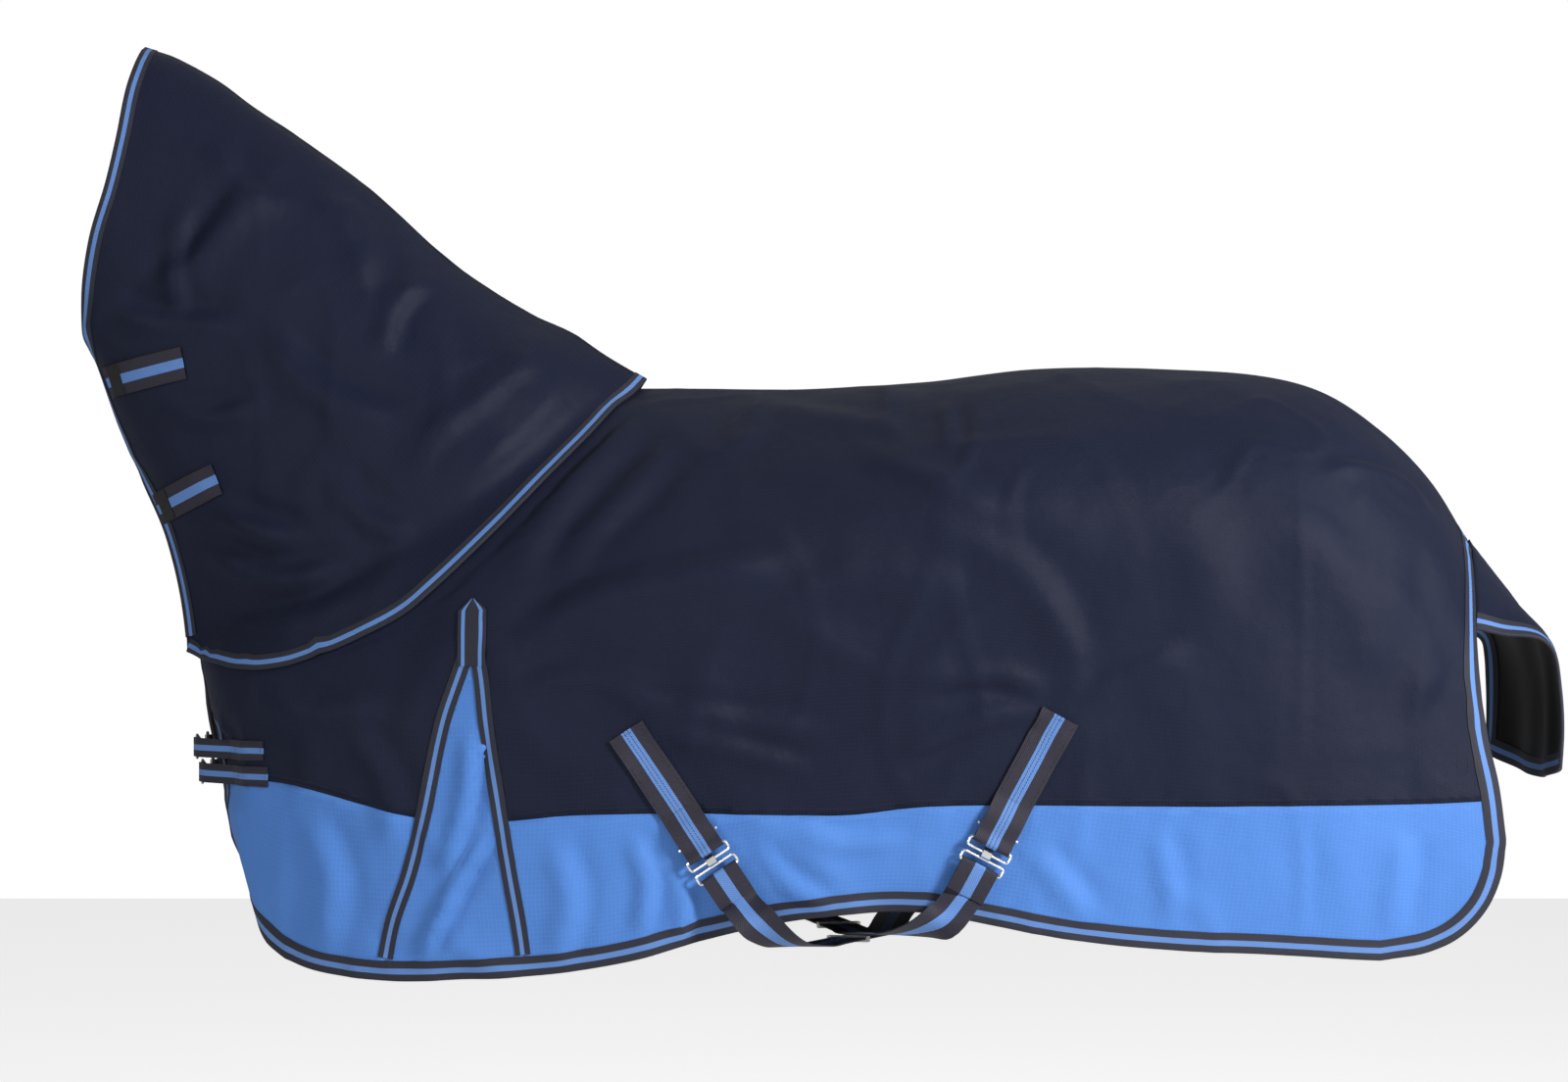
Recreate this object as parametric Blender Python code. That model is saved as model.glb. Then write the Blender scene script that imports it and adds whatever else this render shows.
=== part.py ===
"""A turnout rug for a horse, with a neck cover, in metres, +Z up.

The horse faces -X, its near side is -Y, and the origin is on the underside of the lining at the withers.
Each side of the rug is one curved surface, laid out on a coarse grid. Every sewn layer is cut from that grid,
so layers follow each other at their own heights and never cross.
"""

import math
from bisect import bisect_right

import bmesh
import bpy
from mathutils import Matrix, Vector
from mathutils.bvhtree import BVHTree

# Overall sizes.
BACK_LENGTH = 1.148  # withers seam to tail head
DROP = 0.70  # spine to hem at the middle of the barrel
HALF_WIDTH = 0.308  # centre line to the widest part of the barrel
NECK_HALF_WIDTH = 0.085  # at the face end of the neck cover

# Cloth and tape.
LINING_THICK = 0.0010
SHELL_THICK = 0.0010
TRIM_THICK = 0.0008
SEWN_GAP = 0.0003  # between two layers that are sewn together
BINDING_WIDTH = 0.026
NECK_BINDING_WIDTH = 0.018
GUSSET_TRIM_WIDTH = 0.020
SPINE_TAPE_WIDTH = 0.024
SEAM_GAP = 0.0004  # between the edges of two panels

# Webbing and fittings.
WEBBING_THICK = 0.0018
SURCINGLE_WIDTH = 0.050
CHEST_WIDTH = 0.025
NECK_TAB_WIDTH = 0.042
LEG_TAB_WIDTH = 0.025
WIRE = 0.0036  # diameter of the loops, rings and bars
WIRE_SIDES = 8
PLAY = 0.0006  # around a bar inside its webbing fold
FOLD = 0.012  # length of a webbing fold around its bar
ANCHOR_LIFT = 0.0080  # how far the free end of a surcingle tab stands off the cloth
CHEST_LIFT = 0.0035
CHEST_TAB_LENGTH = 0.072
LEG_LIFT = 0.0012
PLATE_REACH = 0.0120  # loop plate, between the middles of its two bars
T_BAR_BACK = 0.030  # from the loop plate's free bar to the T bar
SLIDER_LENGTH = 0.012
CHEST_RING_REACH = 0.033
CHEST_HOOK_LENGTH = 0.025  # from its bar to the middle of its bow
GATE_GAP = 0.0008  # between the hook's shank and its gate
CHEST_HOOK_BOW = 0.0064  # radius of the bow, to the middle of its wire
TAIL_FLAP_HALF = 0.170
TAIL_FLAP_GAP = 0.0020

# Outlines seen from the near side, as (x, z) or (x, z, y), at the standard length and drop.
STANDARD_LENGTH = 1.148
STANDARD_DROP = 0.70
STANDARD_HALF = 0.308
SPINE = [(-0.140, 0.000), (-0.026, 0.000), (0.130, -0.001), (0.286, 0.008), (0.442, 0.026), (0.624, 0.025),
         (0.754, 0.014), (0.832, -0.012), (0.910, -0.070), (0.962, -0.125), (1.008, -0.200)]
HEM = [(-0.582, -0.672), (-0.557, -0.719), (-0.521, -0.741), (-0.467, -0.753), (-0.390, -0.758),
       (-0.291, -0.753), (-0.192, -0.746), (-0.093, -0.729), (0.005, -0.702), (0.104, -0.680), (0.203, -0.668),
       (0.277, -0.668), (0.375, -0.686), (0.474, -0.704), (0.598, -0.717), (0.722, -0.723), (0.847, -0.731),
       (0.935, -0.734), (1.034, -0.735)]
FRONT = {
    "near": [(-0.140, 0.000, 0.0), (-0.184, -0.037, -0.085), (-0.276, -0.121, -0.150), (-0.377, -0.197, -0.165),
             (-0.480, -0.261, -0.145), (-0.588, -0.302, -0.085), (-0.660, -0.340, -0.018), (-0.652, -0.392, -0.032),
             (-0.640, -0.442, -0.045), (-0.628, -0.500, -0.055), (-0.619, -0.571, -0.060), (-0.605, -0.610, -0.066),
             (-0.582, -0.672, -0.080)],
    "far": [(-0.140, 0.000, 0.0), (-0.184, -0.037, -0.085), (-0.276, -0.121, -0.150), (-0.377, -0.197, -0.165),
            (-0.480, -0.261, -0.145), (-0.588, -0.302, -0.085), (-0.664, -0.340, -0.010), (-0.662, -0.395, -0.006),
            (-0.655, -0.450, -0.005), (-0.642, -0.510, -0.010), (-0.633, -0.560, -0.024), (-0.618, -0.610, -0.048),
            (-0.582, -0.672, -0.080)],
}
REAR = [(1.008, -0.200, 0.0), (0.996, -0.261, -0.130), (0.990, -0.323, -0.185), (0.991, -0.385, -0.212),
        (0.998, -0.447, -0.225), (1.011, -0.509, -0.232), (1.019, -0.570, -0.236), (1.027, -0.645, -0.238),
        (1.034, -0.735, -0.238)]
REAR_CORNER = [(0.870, -0.7305), (0.920, -0.722), (0.962, -0.702), (0.994, -0.669), (1.012, -0.630),
               (1.020, -0.585)]
SKIRT_SEAM = [(-0.651, -0.505), (-0.602, -0.506), (-0.531, -0.511), (-0.478, -0.522), (-0.428, -0.535),
              (-0.352, -0.551), (-0.252, -0.553), (-0.167, -0.545), (-0.019, -0.542), (0.178, -0.544),
              (0.276, -0.534), (0.375, -0.532), (0.598, -0.534), (0.772, -0.534), (0.920, -0.533), (1.014, -0.528)]
GUSSET_LEFT = [(-0.289, -0.322), (-0.303, -0.362), (-0.327, -0.433), (-0.352, -0.551), (-0.370, -0.621),
               (-0.392, -0.685), (-0.408, -0.765)]
GUSSET_RIGHT = [(-0.289, -0.322), (-0.278, -0.362), (-0.270, -0.433), (-0.252, -0.553), (-0.241, -0.621),
                (-0.230, -0.684), (-0.219, -0.765)]
GUSSET_TAB = [(-0.308, -0.357), (-0.269, -0.359), (-0.272, -0.298), (-0.288, -0.274), (-0.306, -0.296)]
CREST = [(-0.745, 0.452), (-0.702, 0.438), (-0.650, 0.410), (-0.598, 0.372), (-0.546, 0.337), (-0.442, 0.262),
         (-0.338, 0.168), (-0.234, 0.100), (-0.182, 0.076), (-0.130, 0.042), (-0.079, 0.012)]
FACE = [(-0.745, 0.452), (-0.759, 0.395), (-0.769, 0.329), (-0.783, 0.264), (-0.803, 0.200), (-0.815, 0.136),
        (-0.816, 0.092), (-0.806, 0.042)]
THROAT = [(-0.806, 0.042), (-0.777, -0.041), (-0.744, -0.119), (-0.712, -0.191), (-0.693, -0.262), (-0.680, -0.346)]
RIM = [(-0.079, 0.012), (-0.125, -0.050), (-0.185, -0.116), (-0.247, -0.183), (-0.308, -0.242), (-0.370, -0.294),
       (-0.434, -0.328), (-0.498, -0.353), (-0.567, -0.368), (-0.611, -0.366), (-0.655, -0.354), (-0.680, -0.346)]
FLAP_MIDDLE = [(1.010, -0.200), (1.043, -0.240), (1.074, -0.283), (1.094, -0.322), (1.104, -0.379), (1.105, -0.444),
               (1.101, -0.512)]
FLAP_EDGE = [(0.996, -0.261), (1.030, -0.292), (1.058, -0.318), (1.064, -0.345), (1.067, -0.390), (1.067, -0.440),
             (1.064, -0.490)]
SURCINGLES = {
    "front": {
        "tab": [(-0.094, -0.438), (0.008, -0.592)],  # sewn end and fold
        "near_run": [(0.070, -0.676, -0.320), (0.104, -0.704, -0.296), (0.140, -0.714, -0.235)],
        "middle": (0.235, -0.718, 0.0),
        "far_run": [(0.262, -0.712, 0.250), (0.296, -0.684, 0.306)],
    },
    "rear": {
        "tab": [(0.450, -0.419), (0.362, -0.584)],
        "near_run": [(0.302, -0.674, -0.320), (0.256, -0.692, -0.296), (0.200, -0.698, -0.232)],
        "middle": (0.150, -0.698, 0.0),
        "far_run": [(0.116, -0.698, 0.250), (0.084, -0.682, 0.306)],
    },
}
FAR_TAB_OF = {"front": "rear", "rear": "front"}  # the straps cross under the belly
CHEST_CLOSURES = {"upper": -0.470, "lower": -0.503}  # heights
NECK_TABS = {  # x, z, length, and rise in degrees
    "upper": (-0.788, 0.008, 0.115, 12),
    "lower": (-0.722, -0.160, 0.100, 24),
}
LEG_RING = (0.955, -0.470)

GRID = (15, 9)
NECK_GRID = (7, 7)
BACK_ARC = 0.46  # share of the side that is the round back
BACK_FALL = 0.34  # share of the side's height that the round back takes
HEM_TUCK = 0.09  # share of the half width lost by the hem
CHEST_ROUNDING = 0.30  # share of the back over which the chest turns into the side
RUMP_ROUNDING = 0.22
NECK_CLEARANCE = 0.0062  # from the body's lining line to the neck cover's

LINING_LO = 0.0
LINING_HI = LINING_LO + LINING_THICK
SHELL_LO = LINING_HI + SEWN_GAP
SHELL_HI = SHELL_LO + SHELL_THICK
TRIM_LO = SHELL_HI + SEWN_GAP
TRIM_HI = TRIM_LO + TRIM_THICK
WEBBING_LO = SHELL_HI + SEWN_GAP
UNDER_HI = LINING_LO - SEWN_GAP
UNDER_LO = UNDER_HI - TRIM_THICK
SIDES = {"near": 1, "far": -1}

NAVY = (0.013, 0.016, 0.034)
BLUE = (0.122, 0.296, 0.730)
BLACK = (0.004, 0.004, 0.005)
WEBBING = (0.014, 0.013, 0.026)
STEEL = (0.62, 0.61, 0.58)


def fitted(x, z, y=0.0):
    """An outline point at the chosen length, drop and width."""
    return Vector((x * BACK_LENGTH / STANDARD_LENGTH, y * HALF_WIDTH / STANDARD_HALF, z * DROP / STANDARD_DROP))


class Curve:
    """A smooth curve through points, read at 0 to 1 along its length."""

    def __init__(self, outline):
        self.points = [p if isinstance(p, Vector) else fitted(*p) for p in outline]
        self.at = [0.0]
        for a, b in zip(self.points, self.points[1:]):
            self.at.append(self.at[-1] + (b - a).length)
        self.at = [d / self.at[-1] for d in self.at]
        last = len(self.points) - 1
        self.slopes = []
        for i in range(last + 1):
            a, b = max(i - 1, 0), min(i + 1, last)
            self.slopes.append((self.points[b] - self.points[a]) / (self.at[b] - self.at[a]))

    def __call__(self, t):
        i = min(max(bisect_right(self.at, t) - 1, 0), len(self.points) - 2)
        span = self.at[i + 1] - self.at[i]
        k = (t - self.at[i]) / span
        return (self.points[i] * (2 * k**3 - 3 * k**2 + 1) + self.slopes[i] * span * (k**3 - 2 * k**2 + k)
                + self.points[i + 1] * (3 * k**2 - 2 * k**3) + self.slopes[i + 1] * span * (k**3 - k**2))


class Surface:
    """A grid of points with outward normals, read between its points as flat triangles.

    A v below 0 is past the middle line, on the mirrored side.
    """

    def __init__(self, rows, crosses_middle=False):
        self.points, self.crosses_middle = rows, crosses_middle
        self.nu, self.nv = len(rows) - 1, len(rows[0]) - 1
        self.find_normals()

    def find_normals(self):
        self.normals = []
        for i in range(self.nu + 1):
            column = []
            for j in range(self.nv + 1):
                along = self.points[min(i + 1, self.nu)][j] - self.points[max(i - 1, 0)][j]
                down = self.points[i][min(j + 1, self.nv)] - self.points[i][max(j - 1, 0)]
                normal = down.cross(along)
                if self.points[i][j].y == 0 and not self.crosses_middle:
                    normal.y = 0
                column.append(normal.normalized())
            self.normals.append(column)

    def cell(self, u, v):
        """The corners of the triangle that holds (u, v), with their shares."""
        i, j = min(max(int(u), 0), self.nu - 1), min(max(int(v), 0), self.nv - 1)
        a, b = u - i, v - j
        if a >= b:
            return ((i, j), 1 - a), ((i + 1, j), a - b), ((i + 1, j + 1), b)
        return ((i, j), 1 - b), ((i, j + 1), b - a), ((i + 1, j + 1), a)

    def point(self, u, v, height=0.0):
        if v < 0:
            return Vector(self.point(u, -v, height) * Vector((1, -1, 1)))
        corners = self.cell(u, v)
        place = sum((self.points[i][j] * k for (i, j), k in corners), Vector())
        return place + self.normal(u, v) * height

    def normal(self, u, v):
        return sum((self.normals[i][j] * k for (i, j), k in self.cell(u, v)), Vector())

    def steps(self, u, v):
        """How the point moves for one step in u and one in v."""
        u, v = min(max(u, 1e-6), self.nu - 1e-6), min(max(v, 1e-6), self.nv - 1e-6)
        i, j = int(u), int(v)
        p = self.points
        if u - i >= v - j:
            return p[i + 1][j] - p[i][j], p[i + 1][j + 1] - p[i + 1][j]
        return p[i + 1][j + 1] - p[i][j + 1], p[i][j + 1] - p[i][j]

    def locate(self, x, z):
        """(u, v) of the point that is seen at x, z from the side, below the top row of cells where it can be."""
        best, found = 1e9, (0.0, 0.0)
        for i in range(self.nu):
            for j in range(self.nv):
                for upper in (True, False):
                    a = self.points[i][j]
                    b = self.points[i + 1][j] if upper else self.points[i][j + 1]
                    c = self.points[i + 1][j + 1]
                    area = (b.x - a.x) * (c.z - a.z) - (c.x - a.x) * (b.z - a.z)
                    kb = ((x - a.x) * (c.z - a.z) - (c.x - a.x) * (z - a.z)) / area
                    kc = ((b.x - a.x) * (z - a.z) - (x - a.x) * (b.z - a.z)) / area
                    outside = max(-kb, -kc, kb + kc - 1, 0.0)
                    if outside < best:
                        best = outside
                        found = (i + kb + kc, j + kc) if upper else (i + kc, j + kb + kc)
                    if outside == 0.0:
                        return found
        return found

    def clear_of_middle(self, path):
        """The path kept half a seam gap from the middle line."""
        return [(u, max(v, SEAM_GAP / 2 / abs(self.steps(u, 0)[1].y))) for u, v in path]

    def shifted(self, path, distance):
        """The path of (u, v) points moved across the surface, to the left of its way when seen from outside."""
        moved = []
        for k, (u, v) in enumerate(path):
            before, after = path[max(k - 1, 0)], path[min(k + 1, len(path) - 1)]
            su, sv = self.steps(u, v)
            ways = []
            for a, b in ((before, (u, v)), ((u, v), after)):
                if a != b:
                    ways.append((su * (b[0] - a[0]) + sv * (b[1] - a[1])).normalized())
            up = sv.cross(su).normalized()
            lefts = [up.cross(way) for way in ways]
            left = (sum(lefts, Vector())).normalized()
            left /= max(left.dot(lefts[0]), 0.5)
            left *= distance
            uu, uv, vv = su.dot(su), su.dot(sv), sv.dot(sv)
            ru, rv = su.dot(left), sv.dot(left)
            det = uu * vv - uv * uv
            moved.append((u + (ru * vv - rv * uv) / det, v + (rv * uu - ru * uv) / det))
        return moved if self.crosses_middle else self.clear_of_middle(moved)


def ease(k):
    k = min(max(k, 0.0), 1.0)
    return k * k * (3 - 2 * k)


def drop_share(t):
    """Share of the side's height that lies above t: a round back, then a straight side."""
    if t < BACK_ARC:
        return BACK_FALL * (1 - math.cos(math.pi / 2 * t / BACK_ARC))
    return BACK_FALL + (1 - BACK_FALL) * (t - BACK_ARC) / (1 - BACK_ARC)


def width_share(t):
    """Share of the half width at t: full below the round back, and a little less at the hem."""
    if t < BACK_ARC:
        return math.sin(math.pi / 2 * t / BACK_ARC)
    return 1 - HEM_TUCK * ((t - BACK_ARC) / (1 - BACK_ARC)) ** 2


def barrel_half_width(s):
    """Half width of the barrel from the withers to the tail head, at the standard width."""
    return 0.262 + 0.046 * math.sin(math.pi * min(max(s * 1.05 + 0.05, 0), 1)) ** 0.8


def body_surface(side_name):
    """One side of the rug, u from the neckline to the rear edge and v from the spine to the hem."""
    top, bottom, front, rear = Curve(SPINE), Curve(HEM), Curve(FRONT[side_name]), Curve(REAR)
    corners = (front(0), front(1), rear(0), rear(1))
    rows = []
    for i in range(GRID[0] + 1):
        s = (i / GRID[0]) ** 1.2
        column = []
        for j in range(GRID[1] + 1):
            t = j / GRID[1]
            share = drop_share(t)
            place = top(s).lerp(bottom(s), share)
            place += (front(t) - corners[0].lerp(corners[1], share)) * (1 - s) ** 2
            place += (rear(t) - corners[2].lerp(corners[3], share)) * s**2
            chest = 1 - math.sqrt(1 - max(1 - s / CHEST_ROUNDING, 0) ** 2)
            rump = max((s - 1 + RUMP_ROUNDING) / RUMP_ROUNDING, 0) ** 2
            side = barrel_half_width(s) * HALF_WIDTH / STANDARD_HALF * width_share(t)
            place.y = front(t).y * chest + rear(t).y * rump - side * (1 - chest - rump)
            column.append(place)
        rows.append(column)
    return Surface(rows)


def neck_surface(body):
    """One side of the neck cover, u from the face edge to the lower rim and v from the crest to the throat."""
    crest, throat, face, rim = Curve(CREST), Curve(THROAT), Curve(FACE), Curve(RIM)
    corners = (face(0), face(1), rim(0), rim(1))
    rows = []
    for i in range(NECK_GRID[0] + 1):
        s = i / NECK_GRID[0]
        column = []
        for j in range(NECK_GRID[1] + 1):
            t = j / NECK_GRID[1]
            place = crest(s).lerp(throat(s), t)
            place += (face(t) - corners[0].lerp(corners[1], t)) * (1 - s)
            place += (rim(t) - corners[2].lerp(corners[3], t)) * s
            base_half = 0.222 * HALF_WIDTH / STANDARD_HALF
            half = NECK_HALF_WIDTH + (base_half - NECK_HALF_WIDTH) * s**1.3
            round_share = math.sin(math.pi * t**0.85) ** 0.62 if 0 < t < 1 else 0.0
            place.y = -half * round_share - (0.004 + 0.012 * ease((t - 0.9) / 0.1) * s if t == 1 else 0.0)
            column.append(place)
        rows.append(column)
    surface = Surface(rows)
    lift_clear(surface, body)
    return surface


def body_tree(body):
    """Both sides of the body, to measure from."""
    points = [p for column in body.points for p in column]
    points += [Vector((p.x, -p.y, p.z)) for p in points]
    count, nv = len(points) // 2, body.nv + 1
    faces = []
    for i in range(body.nu):
        for j in range(body.nv):
            a, b, c, d = i * nv + j, (i + 1) * nv + j, (i + 1) * nv + j + 1, i * nv + j + 1
            faces += [(a, c, b), (a, d, c), (a + count, b + count, c + count), (a + count, c + count, d + count)]
    return BVHTree.FromPolygons(points, faces)


def lift_clear(surface, body):
    """Moves the neck cover's points out until its triangles stand clear of the body's."""
    tree = body_tree(body)
    steps = 6
    for _ in range(8):
        push = {}
        for i in range(surface.nu):
            for j in range(surface.nv):
                for a in range(steps + 1):
                    for b in range(steps + 1):
                        u, v = i + a / steps, j + b / steps
                        place = surface.point(u, v)
                        hit, normal, _, far = tree.find_nearest(place)
                        outward = (place - hit).dot(normal)
                        if far > 1e-9 and abs(outward) < 0.7 * far:
                            continue
                        if outward < NECK_CLEARANCE and far < 0.05:
                            for corner, share in surface.cell(u, v):
                                if share > 0.15:
                                    more = normal * (NECK_CLEARANCE - outward + 0.0002)
                                    if more.length > push.get(corner, Vector()).length:
                                        push[corner] = more
        if not push:
            break
        for (i, j), more in push.items():
            if j == 0:
                more = Vector((more.x, 0, more.z))
            if j == surface.nv:
                more = Vector((more.x, min(more.y, 0), more.z))
            surface.points[i][j] += more
    surface.find_normals()


def flap_surface(body):
    """The tail flap, u across from near to far and v down from its seam on the rug's rear edge."""
    middle, edge = Curve(FLAP_MIDDLE), Curve(FLAP_EDGE)
    seam = [body.points[body.nu][j] for j in (3, 2, 1, 0)]
    seam += [Vector((p.x, -p.y, p.z)) for p in seam[2::-1]]
    shares = [p.y / abs(seam[0].y) for p in seam]
    top_half = abs(seam[0].y)
    rows = []
    for share, start in zip(shares, seam):
        column = [start + Vector((TAIL_FLAP_GAP, 0, 0))]
        for j in range(1, len(FLAP_MIDDLE)):
            t = j / (len(FLAP_MIDDLE) - 1)
            half = top_half + (TAIL_FLAP_HALF - top_half) * ease(t * 2.2)
            place = middle(t).lerp(edge(t), share * share)
            place.y = share * half
            fade = (1 - t) ** 3
            offset = column[0] - (middle(0).lerp(edge(0), share * share) + Vector((0, share * top_half, 0)))
            column.append(place + Vector((offset.x, 0, offset.z)) * fade)
        rows.append(column)
    return Surface(rows, crosses_middle=True)


def material(name, colour, roughness, metallic):
    made = bpy.data.materials.get(name) or bpy.data.materials.new(name)
    made.use_nodes = True
    shader = made.node_tree.nodes["Principled BSDF"]
    shader.inputs["Base Color"].default_value = (*colour, 1)
    shader.inputs["Roughness"].default_value = roughness
    shader.inputs["Metallic"].default_value = metallic
    return made


def finished(name, bm, kind, origin=None, smooth=False):
    """Closes the mesh into an object with its own material, and its origin where given."""
    bmesh.ops.remove_doubles(bm, verts=bm.verts, dist=1e-7)
    bmesh.ops.recalc_face_normals(bm, faces=bm.faces)
    mesh = bpy.data.meshes.new(name)
    bm.to_mesh(mesh)
    bm.free()
    obj = bpy.data.objects.new(name, mesh)
    bpy.context.scene.collection.objects.link(obj)
    colour, roughness, metallic = kind
    mesh.materials.append(material(name, colour, roughness, metallic))
    if origin is not None:
        mesh.transform(Matrix.Translation(-origin))
        obj.location = origin
    if smooth:
        mesh.shade_smooth()
        mesh.set_sharp_from_angle(angle=math.radians(50))
    return obj


def cut_by_grid(bm, surface, stations=()):
    """Cuts flat (u, v, e) faces along the surface's triangles, and across at each station of e."""
    planes = [((k, 0, 0), (1, 0, 0)) for k in range(1, surface.nu)]
    planes += [((0, k, 0), (0, 1, 0)) for k in range(1, surface.nv)]
    planes += [((k, 0, 0), (1, -1, 0)) for k in range(1 - surface.nv, surface.nu)]
    if min(vert.co.y for vert in bm.verts) < 0:
        planes += [((0, 0, 0), (0, 1, 0))] + [((k, 0, 0), (1, 1, 0)) for k in range(1, surface.nu)]
    planes = [((0, 0, e), (0, 0, 1)) for e in stations] + planes
    for place, way in planes:
        geometry = bm.verts[:] + bm.edges[:] + bm.faces[:]
        bmesh.ops.bisect_plane(bm, geom=geometry, dist=1e-5, plane_co=place, plane_no=Vector(way).normalized())
    bmesh.ops.triangulate(bm, faces=bm.faces)


def layer(name, surface, side, faces, low, high, kind, stations=(), split=None, place=None, origin=None):
    """A closed solid between two heights over flat faces of (u, v, e) points.

    Low and high are heights, or functions of e. Where split holds for a face's middle e, the face gets two leaves:
    low to low + leaf and high - leaf to high, with open space between them.
    """
    low_at = low if callable(low) else lambda e: low
    high_at = high if callable(high) else lambda e: high
    put = place or (lambda u, v, h, e: surface.point(u, v, h))
    flat = bmesh.new()
    for face in faces:
        flat.faces.new([flat.verts.new(p) for p in face])
    bmesh.ops.remove_doubles(flat, verts=flat.verts, dist=1e-6)
    bmesh.ops.recalc_face_normals(flat, faces=flat.faces)
    cut_by_grid(flat, surface, stations)
    flat.verts.index_update()
    leaf = split[1] if split else 0.0
    solid = bmesh.new()
    made = {}

    def corner(vert, level):
        key = (vert.index, level)
        if key not in made:
            u, v, e = vert.co
            height = (low_at(e), low_at(e) + leaf, high_at(e) - leaf, high_at(e))[level]
            spot = put(u, v, height, e)
            made[key] = solid.verts.new((spot.x, spot.y * side, spot.z))
        return made[key]

    def levels_of(face):
        middle = sum(vert.co.z for vert in face.verts) / len(face.verts)
        return ((0, 1), (2, 3)) if split and split[0](middle) else ((0, 3),)

    for face in flat.faces:
        for bottom, top in levels_of(face):
            solid.faces.new([corner(v, top) for v in face.verts])
            solid.faces.new([corner(v, bottom) for v in reversed(face.verts)])
    for edge in flat.edges:
        spans = set()
        for face in edge.link_faces:
            spans ^= set(levels_of(face))
        if len(spans) == 3:  # one face has two leaves and its neighbour is solid
            spans = {(1, 2)}
        for bottom, top in spans:
            ends = []
            for vert in edge.verts:
                ends.append([made[vert.index, k] for k in range(bottom, top + 1) if (vert.index, k) in made])
            solid.faces.new(ends[0] + ends[1][::-1])
    flat.free()
    return finished(name, solid, kind, origin)


CLOTH_NAVY = (NAVY, 0.62, 0.0)
CLOTH_BLUE = (BLUE, 0.60, 0.0)
CLOTH_LINING = (BLACK, 0.70, 0.0)
TAPE = (WEBBING, 0.70, 0.0)
METAL = (STEEL, 0.28, 1.0)


def crossing(path, other, last=False):
    """Where two lines of (u, v) points cross, as how far along each it is, in points and their fractions."""
    found = []
    for i, (a, b) in enumerate(zip(path, path[1:])):
        for j, (c, d) in enumerate(zip(other, other[1:])):
            ab, cd, ac = (b[0] - a[0], b[1] - a[1]), (d[0] - c[0], d[1] - c[1]), (c[0] - a[0], c[1] - a[1])
            det = ab[0] * cd[1] - ab[1] * cd[0]
            if abs(det) < 1e-12:
                continue
            k = (ac[0] * cd[1] - ac[1] * cd[0]) / det
            m = (ac[0] * ab[1] - ac[1] * ab[0]) / det
            if -1e-9 <= k <= 1 and -1e-9 <= m <= 1:
                found.append((i + k, j + m))
    return max(found) if last else min(found)


def at(path, t):
    i = min(int(t), len(path) - 2)
    k = t - i
    return tuple(a + (b - a) * k for a, b in zip(path[i], path[i + 1]))


def stretch(path, start, end):
    """The path's points from start to end, which count in points and their fractions. It runs either way."""
    if start > end:
        return stretch(path, end, start)[::-1]
    inside = [p for k, p in enumerate(path) if start + 1e-6 < k < end - 1e-6]
    return [at(path, start), *inside, at(path, end)]


def flat_face(points):
    return [[(u, v, 0.0) for u, v in points]]


def strip(surface, path, inner, outer=0.0):
    """Four-sided faces along a path, from outer to inner across it, which e counts."""
    far_side, near_side = surface.shifted(path, inner), surface.shifted(path, outer) if outer else path
    faces = []
    for k in range(len(path) - 1):
        face = [(*near_side[k], outer), (*near_side[k + 1], outer)]
        face += [(*far_side[k + 1], inner), (*far_side[k], inner)]
        faces.append(face)
    return faces


def located(surface, outline):
    places = [fitted(*p) for p in outline]
    return [surface.locate(p.x, p.z) for p in places]


def extended(path, share=0.4):
    """The path with its two end stretches made longer, so that it crosses what it should end on."""
    start = at(path, 0)
    first = tuple(a - (b - a) * share for a, b in zip(start, path[1]))
    last = tuple(b + (b - a) * share for a, b in zip(path[-2], path[-1]))
    return [first, *path, last]


def edge_path(body):
    """The rug's edge: down the front, along the hem, round the rear corner and up to the tail head."""
    corner = located(body, REAR_CORNER)
    path = [(0.0, 0.0)] + [(0.0, float(j)) for j in range(1, body.nv)] + [(0.0, float(body.nv))]
    path += [(float(i), float(body.nv)) for i in range(1, body.nu) if i < corner[0][0] - 0.2]
    path += corner
    path += [(float(body.nu), float(j)) for j in range(body.nv - 1, 0, -1) if j < corner[-1][1] - 0.2]
    return body.clear_of_middle(path + [(float(body.nu), 0.0)])


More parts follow.
